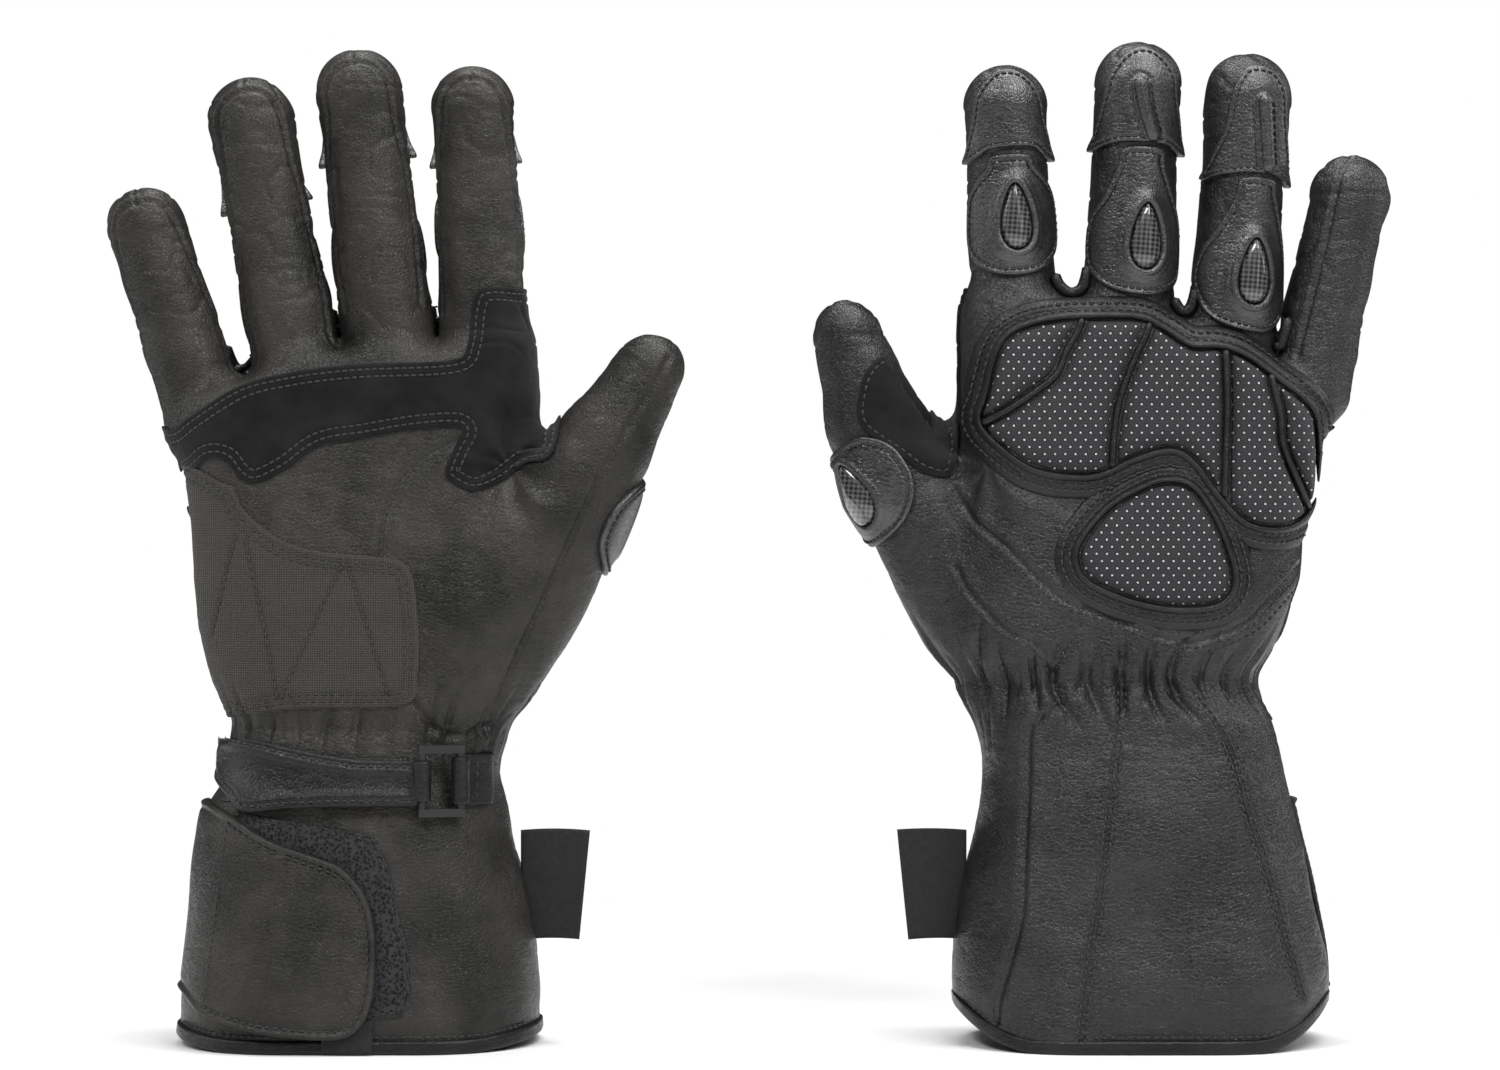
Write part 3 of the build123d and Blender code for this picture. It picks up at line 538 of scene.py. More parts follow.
class Outline:
    """A closed shape on a chart, with its distance kept on a flat grid."""

    def __init__(self, points, smooth=True, step=0.5, margin=9.0):
        self.loop = spline(points, closed=True) if smooth else self.divided(np.asarray(points, float))
        area = np.cross(self.loop, np.roll(self.loop, -1, 0)).sum()
        if area < 0:
            self.loop = self.loop[::-1]
        self.low = self.loop.min(0) - margin
        self.step = step
        counts = np.ceil((self.loop.max(0) + margin - self.low) / step).astype(int) + 1
        spots = np.stack(np.meshgrid(np.arange(counts[0]), np.arange(counts[1]), indexing="ij"), -1)
        spots = spots.reshape(-1, 2) * step + self.low
        closed = np.vstack([self.loop, self.loop[:1]])
        gap = line_distance(spots, closed)
        self.grid = np.where(self.holds(spots, closed), -gap, gap).reshape(counts)

    @staticmethod
    def divided(corners, per=5):
        ahead = np.roll(corners, -1, 0)
        shares = np.arange(per)[:, None, None] / per
        return (corners + (ahead - corners) * shares).transpose(1, 0, 2).reshape(-1, 2)

    @staticmethod
    def holds(spots, closed):
        inside = np.zeros(len(spots), bool)
        for a, b in zip(closed[:-1], closed[1:]):
            if a[1] == b[1]:
                continue
            crosses = (spots[:, 1] < a[1]) != (spots[:, 1] < b[1])
            inside ^= crosses & (spots[:, 0] < a[0] + (spots[:, 1] - a[1]) / (b[1] - a[1]) * (b[0] - a[0]))
        return inside

    def distance(self, places):
        spot = (places - self.low) / self.step
        top = np.array(self.grid.shape) - 1.001
        held = np.clip(spot, 0, top)
        cell = held.astype(int)
        a, b = (held - cell).T
        i, j = cell.T
        g = self.grid
        value = ((1 - a) * (1 - b) * g[i, j] + a * (1 - b) * g[i + 1, j]
                 + (1 - a) * b * g[i, j + 1] + a * b * g[i + 1, j + 1])
        return value + np.linalg.norm(spot - held, axis=1) * self.step

    def inset(self, by):
        """The closed outline moved inwards."""
        closed = np.vstack([self.loop[-1:], self.loop, self.loop[:1]])
        return np.vstack([side_step(closed, by)[1:-1], side_step(closed, by)[1:2]])


# ---- Making Blender objects ----

MATERIALS = {}


def make_object(glove, name, verts, faces, materials, marks=None):
    """An object from millimetres in the glove's frame. Faces may mix triangles and quads."""
    mesh = bpy.data.meshes.new(f"{glove.name}_{name}")
    faces = [np.asarray(group) for group in (faces if isinstance(faces, list) else [faces]) if len(group)]
    loops = np.concatenate([group.ravel() for group in faces])
    sizes = np.concatenate([np.full(len(group), group.shape[1]) for group in faces])
    mesh.vertices.add(len(verts))
    mesh.vertices.foreach_set("co", glove.world(verts).astype(np.float32).ravel())
    mesh.loops.add(len(loops))
    mesh.loops.foreach_set("vertex_index", loops.astype(np.int32))
    mesh.polygons.add(len(sizes))
    mesh.polygons.foreach_set("loop_start", (np.cumsum(sizes) - sizes).astype(np.int32))
    mesh.polygons.foreach_set("loop_total", sizes.astype(np.int32))
    if marks is not None:
        mesh.polygons.foreach_set("material_index", np.asarray(marks, np.int32))
    mesh.polygons.foreach_set("use_smooth", np.full(len(sizes), True))
    mesh.update(calc_edges=True)
    made = link_object(f"{glove.name}_{name}_piece", mesh)
    for material in materials:
        mesh.materials.append(MATERIALS[material])
    return made


def join_parts(parts):
    """Several (vertices, faces, material number) as one list of each."""
    verts, quads, marks, start = [], [], [], 0
    for part_verts, part_faces, mark in parts:
        for group in part_faces if isinstance(part_faces, list) else [part_faces]:
            quads.append(np.asarray(group) + start)
            marks.append(np.full(len(group), mark))
        verts.append(part_verts)
        start += len(part_verts)
    return np.vstack(verts), quads, np.concatenate(marks)


OWN, THREAD = 0, 1  # the material numbers of a piece: its own, and the thread's
LINE_STEP = 1.2
STITCH_SPACING = 2.7
STITCH_LENGTH = 2.0
STITCH_RADIUS = 0.36
GRAIN_RING = 6
# Along a stitch: the place as a share of its length, its thickness as a share, and its rise.
GRAIN_STATIONS = [
    (-0.5, 0.25, -0.35), (-0.36, 0.85, -0.02), (0.0, 1.0, 0.16), (0.36, 0.85, -0.02), (0.5, 0.25, -0.35),
]


def stitch_mesh(line, outward, spacing):
    """Thread stitches along a chain on the surface: short arched grains that dive in at both ends."""
    far = measured(line)
    count = int(far[-1] / spacing)
    if count < 1:
        return np.zeros((0, 3)), np.zeros((0, 4), int)
    at = (np.arange(count) + 0.5) * far[-1] / count
    centre, up = resampled(at, far, line), resampled(at, far, outward)
    run = unit(resampled(at + 0.3, far, line) - resampled(at - 0.3, far, line))
    up = unit(up - (up * run).sum(1)[:, None] * run)
    flank = np.cross(run, up)
    rings = []
    for share, thick, rise in GRAIN_STATIONS:
        for k in range(GRAIN_RING):
            turn = 2 * math.pi * k / GRAIN_RING
            rings.append(centre + run * share * STITCH_LENGTH
                         + up * (rise + STITCH_RADIUS * thick * math.sin(turn))
                         + flank * STITCH_RADIUS * thick * math.cos(turn))
    verts = np.stack(rings, 1).reshape(-1, 3)
    ring = np.arange(GRAIN_RING)
    after = (ring + 1) % GRAIN_RING
    band = np.column_stack([after, ring, ring + GRAIN_RING, after + GRAIN_RING])
    one = np.vstack([band + level * GRAIN_RING for level in range(len(GRAIN_STATIONS) - 1)])
    size = GRAIN_RING * len(GRAIN_STATIONS)
    return verts, (one[None] + np.arange(count)[:, None, None] * size).reshape(-1, 4)


def stitched(chart, lines, level, spacing=STITCH_SPACING, mark=THREAD):
    """Marked parts: stitches along several flat lines of one chart."""
    parts = []
    for line in lines:
        line = np.asarray(line, float)
        far = measured(line)
        at = np.linspace(0, far[-1], max(int(far[-1] / LINE_STEP), 3))
        points, out, met = lay(chart, resampled(at, far, line), level)
        ends = np.flatnonzero(np.diff(np.concatenate([[0], met, [0]])))
        for first, last in ends.reshape(-1, 2):
            if last - first > 3:
                verts, faces = stitch_mesh(points[first:last], out[first:last], spacing)
                if len(verts):
                    parts.append((verts, faces, mark))
    return parts


def tube_mesh(line, radius, ring=10):
    """A round tube along a chain in space, with rounded ends, as a marked part."""
    run = unit(np.gradient(line, axis=0))
    guide = np.array((0.3, 0.2, 0.93)) if abs(run[:, 2]).mean() < 0.7 else np.array((0.1, 1.0, 0.2))
    flank = unit(np.cross(run, guide))[:, None]
    up = np.cross(flank[:, 0], run)[:, None]
    turn = (2 * math.pi * np.arange(ring) / ring)[None, :, None]
    verts = (line[:, None] + radius * (np.cos(turn) * flank + np.sin(turn) * up)).reshape(-1, 3)
    count = len(line)
    here = np.arange(count - 1) * ring
    quads = []
    for k in range(ring):
        m = (k + 1) % ring
        quads.append(np.column_stack([here + k, here + ring + k, here + ring + m, here + m]))
    ends = np.vstack([line[0] - run[0] * radius * 0.8, line[-1] + run[-1] * radius * 0.8])
    verts = np.vstack([verts, ends])
    ks = np.arange(ring)
    ms = (ks + 1) % ring
    last = (count - 1) * ring
    first_cap = np.column_stack([np.full(ring, len(verts) - 2), ks, ms])
    last_cap = np.column_stack([np.full(ring, len(verts) - 1), last + ms, last + ks])
    return verts, [np.vstack(quads), np.vstack([first_cap, last_cap])], OWN


def layer_field(chart, outline, inner, outer, edge=0.9, extra=None):
    """A sheet between two levels over the surface, inside an outline, with a rounded rim."""
    def field(points):
        places = chart.flat(points)
        rim = outline.distance(places)
        if extra is not None:
            rim = extra(places, rim)
        height = chart.field(points)
        if chart.relief is not None:
            close = np.abs(height) < 6
            height[close] -= chart.relief(points[close])
        rise = outer(places, rim) if callable(outer) else outer
        if chart.fade is not None:
            share = chart.fade(points)
            rise = rise * share - 1.3 * (1 - share)
        top = height - rise
        low = inner(points) if callable(inner) else inner
        sheet = smooth_max(smooth_max(top, rim, edge), low - height, 0.15)
        return np.maximum(sheet, chart.limit(points))
    return field


# ---- Outlines and seams, in millimetres on the palm or the back: x towards the thumb, z up ----

KNUCKLE_PAD = [
    (51, 203), (49, 211), (45.5, 224.4), (40.3, 231), (29, 234.5), (15, 235.4), (0.7, 235), (-7, 231.5),
    (-15.8, 226), (-25.7, 225.6), (-34, 222.5), (-44, 215), (-54, 207), (-57, 199), (-57.8, 181), (-53.5, 173),
    (-45.5, 169.5), (-34.7, 171), (-26.5, 179), (-17.5, 191), (-9, 195), (3, 192), (14, 187), (25, 186.6),
    (35.6, 189), (45, 195.7),
]
KNUCKLE_GROOVES = [
    [(18.2, 240), (20, 233), (24, 226), (27.5, 218), (35, 212), (44, 206), (55, 200.5)],
    [(-3.5, 240), (-2, 232), (2.6, 222), (7.3, 209), (9.2, 196), (9.8, 184)],
    [(-27, 231), (-27.4, 224), (-27.7, 208), (-27, 190), (-26.5, 172)],
    [(-41, 222), (-43, 213), (-45, 205), (-45.6, 196), (-50, 185), (-57, 172)],
]
HAND_PAD = [
    (-1, 180), (-8, 182), (-15, 180.5), (-21.5, 171.6), (-26, 161), (-28, 151), (-24, 145), (-13, 143.5),
    (-1, 145), (11, 149), (18.5, 154), (19.3, 162), (10, 173.5),
]
PAD_RIM = 8.7
PALM_BAND = [
    (-66, 201), (-60, 200.5), (-53.5, 204.6), (-37, 214.5), (-20.5, 218.8), (0.3, 221.4), (31.4, 222.8),
    (36.6, 227.7), (38, 240), (41.3, 246.2), (53, 246.6), (66, 245), (66, 196), (55.5, 189), (47, 182.6),
    (39, 180), (31.4, 183.5), (30, 187), (33, 194.7), (34.7, 200.6), (20, 200), (3.6, 197.3), (-10.6, 194.7),
    (-21.5, 187), (-31.4, 182.5), (-37, 184.8), (-41.3, 190), (-47, 190.7), (-53.5, 186.5), (-66, 184),
]
HEEL_PATCH = [
    (-64, 184), (-41.3, 182.5), (-37.5, 179), (-34.7, 173.6), (-24, 165), (-10.6, 160.7), (12.5, 158.4),
    (18.2, 155), (20.5, 148), (21.8, 132), (21.5, 121), (17.5, 111), (-14, 110), (-30, 108.3), (-39.6, 106.8), (-64, 106),
]
HEEL_ZIGZAGS = [
    [(-37.5, 166), (-46, 133)], [(-34.5, 165), (-27.5, 133), (-23.8, 113)],
    [(-23, 113), (-3.5, 156)], [(-1.3, 156), (12, 114.5)],
]
CROTCH_PATCH = {
    "glove1": [(80, 216), (74, 217), (60, 203), (60, 184), (67, 183), (76, 188), (88, 196), (88, 207), (85, 213)],
    "glove2": [(83, 225), (77, 225), (60, 208), (60, 187), (69, 186), (78, 192), (91, 202), (91, 214), (88, 221)],
}
LOOP_PATCH = [
    (-37, 77), (7, 69.5), (12.5, 60), (16, 44), (19.4, 32), (19.8, 19), (17, 12.3), (8, 11.5), (-37, 11.5),
]
FLAP = [
    (-75, 80), (-52, 80), (-40, 76.5), (-26, 68.5), (-9, 62.5), (-1, 58.8), (5.8, 50.5), (8.8, 40),
    (9.3, 28), (8, 16.5), (4.6, 9), (-2, 5.2), (-16, 5.4), (-32, 7.4), (-48, 12), (-58, 18), (-75, 21),
]
YOKE_SEAM = [
    (60, 181), (54.5, 171.6), (42.2, 160.4), (33.7, 151.8), (24.8, 144.5), (12.5, 140.2), (-1.7, 134.5),
    (-11.6, 131.5), (-21.5, 132.4), (-34.7, 138), (-42, 145), (-52.1, 156),
]
SIDE_SEAM = [(60, 156), (55.4, 147.2), (45.5, 136.3), (33.7, 130), (29, 122)]
CUFF_SEAMS = [
    ([(27, 111), (35.6, 105), (37, 97), (37.2, 86), (38.6, 66), (39.6, 46), (42.6, 33), (46.6, 18), (47.5, 9)],
     (1.3,)),
    ([(6.5, 116), (8, 100), (10.4, 83), (12.6, 66), (15.6, 44), (19, 22), (21.4, 3)], (-1.3, 1.3)),
    ([(-15, 116), (-21.5, 107.6), (-28, 96.7), (-33.5, 77), (-39, 60), (-44.5, 38.5), (-50.5, 17)], (-1.3, 1.3)),
]
THENAR_SEAM = [(35, 197.5), (29, 194.5), (20, 188.5), (12.8, 180), (9.2, 169.3), (8.3, 158)]
LOWER_THENAR_SEAM = [(19, 113.5), (24, 106.5), (28.5, 102.5), (35, 101.3), (45, 104)]
THUMB_SEAM = [(3.8, 36), (4.2, 30), (4.2, 10), (5.5, -10), (9, -32), (12, -52), (16, -78), (20, -98)]
SEAM_LEVEL = 0.12

# Outlines and lines on a digit: arc from the middle of its back, and height above its hinge.
LITTLE_SEAM = [(7, 40), (6.5, 20), (6.6, 0), (7.2, -22), (7.5, -34)]
GUARDS = {
    "index": [(6, 2.6), (8.5, -1.5), (13.5, -6), (17.5, -12), (18.5, -24), (15, -31), (7, -35.5), (-2, -36.5),
              (-10, -34.5), (-17, -28), (-19, -21), (-18, -12), (-14, -6), (-8.5, -1), (-6.5, 2.6)],
    "middle": [(4.5, 1.6), (7, -5), (11, -14), (16.5, -21), (18, -30), (16, -38), (9, -43.5), (0, -46), (-9, -45.5),
               (-17.5, -41), (-20, -32), (-18.5, -22), (-14, -13), (-10, -4), (-8.5, 1.6)],
    "ring": [(1.5, 1.6), (4, -6), (9, -15), (15, -23), (17, -32), (13, -40), (6, -45.5), (-3, -48), (-11, -47.5),
             (-17.5, -42), (-19.5, -33), (-18, -23), (-14.5, -12), (-11.5, -3), (-10, 1.6)],
    "thumb": [(7, -1.5), (14, -5), (18, -13), (17, -25), (9, -33), (0, -35), (-9, -33), (-16, -25), (-17, -13),
              (-13, -5), (-7, -1.5)],
}
OVERLAYS = {
    "index": [(3.5, 31), (8.5, 27.5), (11.5, 22), (14, 14), (17.5, 6), (19.5, 1), (12, 2.5), (6.5, 5), (-7.5, 5.2),
              (-13, 2.5), (-19.5, 0.6), (-18, 6), (-14.5, 14), (-12.5, 21), (-9, 28), (-4, 31)],
    "middle": [(2.5, 35), (7.5, 32), (11, 26), (13.5, 18), (17, 8), (20.5, 0.5), (13, 2), (5, 3.6), (-9, 3.4),
               (-15, 1.6), (-21.5, 0.5), (-18.5, 8), (-14.5, 18), (-12.5, 26), (-9, 32), (-4, 35)],
    "ring": [(1.5, 38.5), (5, 34), (7, 27), (8.5, 18), (13.5, 8), (18, 1), (9, 2.4), (0, 3.6), (-11, 3.4),
             (-16, 1.6), (-21, 0.5), (-19, 8), (-15.5, 17), (-13.5, 27), (-11.5, 34), (-7, 38.5)],
}
RIBS = {"middle": [(0.5, 22.5), (-1.5, 14), (-4.5, 6)], "ring": [(-4, 27), (-5.5, 16), (-7, 6)]}
SHELLS = {"index": (-1.0, -17.5), "middle": (-3.6, -27.0), "ring": (-4.2, -28.5), "thumb": (0.0, -17.0)}
SHELL_WIDTH, SHELL_HEIGHT = 10.8, 21.5

# The strap's free end: x (None is at the ring's bar), then z as half widths from its middle and an addition.
STRAP_END = [
    (-48.5, 0, 3), (-48.5, 0, 9), (-45.5, 1, 5.6), (-40, 1, 6.2), (-30, 1, 4.6), (-12, 1, 0.6), (2, 1, -1.6),
    (None, 1, -2.0), (None, -1, 0.5), (6, -1, 0.4), (-8, -1, 0.2), (-22, -1, -0.4), (-32, -1, -1.6),
    (-36.5, -1, -0.8), (-40, 0, -5.4), (-46.5, 0, -0.5),
]
BAR_RADIUS, LOOP_RADIUS = 1.75, 2.9
LABEL_WIDTH, LABEL_HEIGHT, LABEL_LOW = 21.0, 36.0, 33.0
LABEL_SHEET = 0.8
SIZE_LABEL_HEIGHT, SIZE_LABEL_SHEET = 10.6, 0.6


def teardrop(centre, width, height):
    """A rounded drop with its point up, about a centre."""
    points = []
    for turn in 2 * math.pi * np.arange(28) / 28:
        narrow = 0.74 - 0.26 * math.cos(turn)
        points.append((centre[0] + width / 2 * math.sin(turn) * narrow * 1.12,
                       centre[1] + height / 2 * math.cos(turn)))
    return points


# ---- The leather skin ----

def panel_edge(half, tip):
    """The seam round the palm side of a digit, whose half girth is given: up both sides and below the tip."""
    reach = tip - 8.5
    left = [(half - 15, -48), (half - 17, -20), (half - 16, 0), (half - 13.5, 14), (half - 12, reach - 5)]
    top = [(half - 9, reach + 1), (half - 3, reach + 3.2)]
    right = [(2 * half - s, v) for s, v in reversed(left)]
    return left + top + [(half + 3, reach + 3.2), (half + 9, reach + 1)] + right


class Skin:
    """Small relief of one glove's leather: gathers, folds, seams and dips under stitches."""

    def __init__(self, glove):
        self.glove = glove
        self.lines = []

    def add(self, flat, keep, line, depth, width, swell=0.0):
        self.lines.append((flat, keep, np.asarray(line, float), depth, width, swell))

    def side_line(self, facing, line, depth, width, swell=0.0, above=-2.0):
        side = Side(self.glove, facing)
        self.add(side.flat, lambda points: facing * points[:, 1] > above, line, depth, width, swell)

    def digit_line(self, name, line, depth, width, swell=0.0, wrap=False):
        chart = Round(self.glove, name)
        digit = self.glove.digits[name]

        def flat(points):
            places = chart.flat(points)
            if wrap:
                places[:, 0] = np.mod(places[:, 0], 2 * math.pi * chart.radius)
            return places

        def keep(points):
            own = digit.distance(points)
            others = [self.glove.digits[n].distance(points) for n in FINGERS if n != name]
            return (own < 2.5) & (own <= np.min(others, axis=0) + 0.4)

        self.add(flat, keep, line, depth, width, swell)

    def gathers(self, points):
        glove = self.glove
        middle, half, deep = GATHER[glove.name]
        x, y, z = points.T
        left, right, _ = glove.edges(z)
        turn = np.arctan2(1.5 * y, x - (left + right) / 2)
        around = np.column_stack([np.cos(turn) * 9, np.sin(turn) * 9, z * 0.10])
        reach = half * (1 + 0.45 * noise(around * (1, 1, 0) + 31, 2.2, 3))
        envelope = bell(z - middle - 1.5 * noise(around + 5, 2.0, 4), reach)
        phase = 14 * turn + 1.5 * noise(around, 2.0, 5)
        pleat = np.abs(np.sin(phase)) ** 0.65 - 0.68
        fine = np.abs(np.sin(2.3 * phase + 3 * noise(around, 1.1, 6))) - 0.6
        return envelope * (deep * pleat + 0.22 * deep * fine) - 0.5 * deep * bell(z - middle, 0.5 * half)

    def folds(self, points):
        """Broad undulations, fine creases at the roots of the digits, and folds round the thumb's crotch."""
        x, y, z = points.T
        broad = 0.55 * noise(points, (26, 20, 30), 11) + 0.36 * noise(points, (12, 12, 8), 12)
        cuff = 1.0 - ease((z - 90) / 25)
        broad += cuff * 0.9 * noise(points, (30, 40, 22), 13)
        crease = 1 - np.abs(noise(points, (11, 11, 5), 14))
        fingers = ease((z - 215) / 25)
        broad -= (0.16 + 0.34 * fingers) * np.clip(crease - 0.80, 0, 1) * 5
        crotch = points - THUMB_CROTCH
        far = np.hypot(crotch[:, 0], crotch[:, 2])
        spoke = np.arctan2(crotch[:, 2], crotch[:, 0])
        return broad + 0.63 * bell(far - 13, 11) * np.sin(7 * spoke + 2.0 * noise(points, 15.0, 15))

    def relief(self, points):
        total = self.ground(points)
        for flat, keep, line, depth, width, swell in self.lines:
            places = flat(points)
            low, high = line.min(0) - 6, line.max(0) + 6
            near = np.flatnonzero(((places > low) & (places < high)).all(1))
            near = near[keep(points[near])] if len(near) else near
            if not len(near):
                continue
            gap = line_distance(places[near], line)
            total[near] += -depth * bell(gap, width) + swell * bell(gap - 2.4 * width, 1.6 * width)
        return total

    def ground(self, points):
        """The broad part of the relief, which the patches sewn on the leather follow."""
        return self.gathers(points) + self.folds(points)

    def height(self, points):
        """All that moves the leather out from its smooth surface."""
        return self.relief(points) + raised_pads(points)


def raised_pads(points):
    """The rise of the leather round the foam pads on the back of the hand."""
    back = points[:, 1] > 2
    total = np.zeros(len(points))
    fade = ease((points[back][:, 1] - 1.5) / 5)
    for outline, height in ((OUTLINES["knuckle_pad"], 1.5), (OUTLINES["hand_pad"], 1.3)):
        gap = outline.distance(points[back][:, ::2])
        total[back] += height * fade * ease((8.5 - gap) / 8.5)
    return total


def split_faces(glove, verts, faces):
    """Which panel each face belongs to: 0 to 3 for the palm, back and cuff panels, then the digits."""
    centre = verts[faces].mean(1)
    _, y, z = centre.T
    owner = np.where(y < 0, 0, 1) + np.where(z < CUFF_TOP, 2, 0)
    best = np.full(len(centre), 1e9)
    for number, name in enumerate(DIGITS):
        digit = glove.digits[name]
        own = digit.distance(centre)
        u, w, v = digit.frame(centre)
        mine = (v > -SPLIT_BELOW) & (own < 3.0) & (own < best) & (np.abs(u) < digit.radius + 4)
        owner[mine] = 4 + number
        best = np.where(mine, own, best)
    return owner


def sheet_from_skin(verts, normals, faces, thickness):
    """A part of the skin as a closed sheet: the outside, an inner copy and a rim."""
    used, new = np.unique(faces, return_inverse=True)
    faces = new.reshape(faces.shape)
    outer, out = verts[used], normals[used]
    count = len(used)
    edges = np.vstack([faces[:, [k, (k + 1) % 4]] for k in range(4)])
    key = np.sort(edges, 1) @ np.array([count, 1])
    _, first, times = np.unique(key, return_index=True, return_counts=True)
    open_edges = edges[first[times == 1]]
    start, end = open_edges.T
    rim = np.column_stack([end, start, start + count, end + count])
    return (np.vstack([outer, outer - thickness * out]), np.vstack([faces, faces[:, ::-1] + count, rim]),
            np.vstack([out, -out]))


def vertex_normals(verts, faces):
    a, b, c, d = (verts[faces[:, k]] for k in range(4))
    face = np.cross(c - a, d - b)
    total = np.zeros_like(verts)
    for k in range(4):
        for axis in range(3):
            total[:, axis] += np.bincount(faces[:, k], face[:, axis], len(verts))
    return total / (np.linalg.norm(total, axis=1)[:, None] + 1e-12)


def make_skin(glove, skin):
    """The leather as closed sheets: four panels that ride on the hand, and five digit pieces."""
    def field(points):
        return smooth_max(glove.surface(points), glove.hem(points[:, 0]) + 1.6 - points[:, 2], 0.4)

    verts, faces = mesh_field(field, (-92, -46, -1), (128, 46, 336), SKIN_STEP)
    centre = verts[faces].mean(1)
    faces = faces[centre[:, 2] > glove.hem(centre[:, 0]) + 2.0]
    out = vertex_normals(verts, faces)
    verts = verts + out * skin.height(verts)[:, None]
    out = vertex_normals(verts, faces)
    owner = split_faces(glove, verts, faces)
    hand = glove.name + "_hand"
    panels = [("palm_panel", "palm_leather"), ("back_panel", "back_leather"), ("cuff_palm", "palm_leather"),
              ("cuff_back", "back_leather")]
    panels += [(name + "_tip", "palm_leather" if glove.side > 0 else "back_leather") for name in DIGITS]
    for number, (node, material) in enumerate(panels):
        part_verts, part_faces, normals = sheet_from_skin(verts, out, faces[owner == number], SKIN_THICKNESS)
        name = node.replace("_tip", "_digit") + "_leather"
        made = make_object(glove, name, part_verts, part_faces, [material])
        turned = normals * (glove.side, glove.side, 1)
        made.data.normals_split_custom_set_from_vertices(turned.tolist())
        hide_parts(f"{glove.name}_{node}")
        if number < 4:
            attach(made, hand)
        else:
            cross_hinge(glove, made, DIGITS[number - 4])


def cross_hinge(glove, made, name):
    digit = glove.digits[name]
    start, end = glove.world(digit.hinge + np.outer((BEND_START, BEND_END), digit.along))
    tuple(start)
    tuple(end)
    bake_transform(made)


def make_lining(glove):
    """The fleece lining inside the leather, as far as each digit's hinge, and the elastic inside the wrist."""
    middle, half, deep = GATHER[glove.name]

    def inset(points, level, thickness):
        squeeze = 1.5 * deep * bell(points[:, 2] - middle, 1.6 * half)
        return np.abs(glove.surface(points) + level + squeeze) - thickness / 2

    def lining(points):
        sheet = inset(points, 3.6, 1.5)
        below = glove.hem(points[:, 0]) + 6 - points[:, 2]
        for digit in glove.digits.values():
            u, w, v = digit.frame(points)
            beside = (np.abs(u) < digit.radius + 3) & (np.abs(w) < digit.radius + 3)
            sheet = np.maximum(sheet, np.where(beside, v + SPLIT_BELOW + 2, -9))
        return np.maximum(sheet, below)

    low, high = (corner.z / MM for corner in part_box(glove.name + "_wrist_elastic"))

    def tape(points):
        return np.maximum(inset(points, 5.2, 0.8), np.abs(points[:, 2] - (low + high) / 2) - (high - low) / 2)

    for name, material, field, start, end, step in (
        ("hand_lining", "lining", lining, (-86, -44, 2), (122, 44, 300), 1.7),
        ("wrist_elastic", "elastic", tape, (-60, -34, low - 2), (66, 34, high + 2), 1.0),
    ):
        verts, faces = mesh_field(field, start, end, step, rounds=1)
        make_piece(glove, name, [(verts, faces, OWN)], [material], replaced=[name])


# ---- Pieces laid on the skin ----

# Looks that aren't slots of their own, each listed with the slot it matches; make_piece looks it up and does not
# use it.
# The guards' and overlays' leather is the trim leather drawn lighter and glossier: a painted highlight.
SLOTS = {"guard_leather": "trim_leather", "thread": "back_leather"}


def make_piece(glove, name, parts, materials, body="hand", replaced=()):
    """One piece from marked parts. It rides on a body and stands for the named CAD nodes."""
    verts, faces, marks = join_parts(parts)
    made = make_object(glove, name, verts, faces, materials, marks)
    SLOTS.get(materials[OWN], materials[OWN])
    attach(made, f"{glove.name}_{body}")
    if replaced:
        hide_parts(*[f"{glove.name}_{node}" for node in replaced])
    return made


def make_layer(glove, name, chart, outline, outer, material, body="hand", replaced=(), stitches=(), level=None,
               inner=-0.8, edge=0.9, step=LAYER_STEP, extra=None, spacing=STITCH_SPACING):
    """A piece that lies on the skin, with the stitches that hold it."""
    field = layer_field(chart, outline, inner, outer, edge, extra)
    parts = [(*mesh_field(field, *chart.span(outline), step), OWN)]
    parts += stitched(chart, stitches, outer if level is None else level, spacing)
    return make_piece(glove, name, parts, [material, "thread"], body, replaced)


def dipped(height, insets, depth=0.28, width=0.7):
    """A layer's height with shallow dips under stitch rows at given distances inside its edge."""
    def outer(places, rim):
        dip = sum(bell(rim + inset, width) for inset in insets)
        return height - depth * dip
    return outer


def make_palm_pieces(glove, skin):
    palm, back = (Side(glove, facing, relief=skin.ground) for facing in (-1, 1))
    band = OUTLINES["palm_band"]
    make_layer(glove, "palm_band", palm, band, dipped(1.1, (2.0, 4.4)), "suede", replaced=["palm_band"],
               stitches=[band.inset(2.0), band.inset(4.4)], level=0.95, spacing=2.4)
    heel = OUTLINES["heel_patch"]
    flat_heel = dipped(1.1, (2.4, 4.6))

    def quilted(places, rim):
        near = np.min([line_distance(places, np.asarray(line, float)) for line in HEEL_ZIGZAGS], axis=0)
        return flat_heel(places, rim) - 0.4 * bell(near, 0.9)

    make_layer(glove, "heel_patch", palm, heel, quilted, "heel_canvas", replaced=["heel_patch"],
               stitches=[heel.inset(2.4), heel.inset(4.6), *HEEL_ZIGZAGS], level=0.95, edge=1.1)
    crotch = Outline(CROTCH_PATCH[glove.name])
    make_layer(glove, "crotch_patch", back, crotch, dipped(1.2, (2.2,)), "suede",
               stitches=[crotch.inset(2.2)], level=1.05)


def crown(rim, height, reach):
    """A rounded rise from an edge to a full height, reach inside it."""
    share = np.clip(-rim / reach, 0, 1)
    return height * np.sqrt(1 - (1 - share) ** 2)


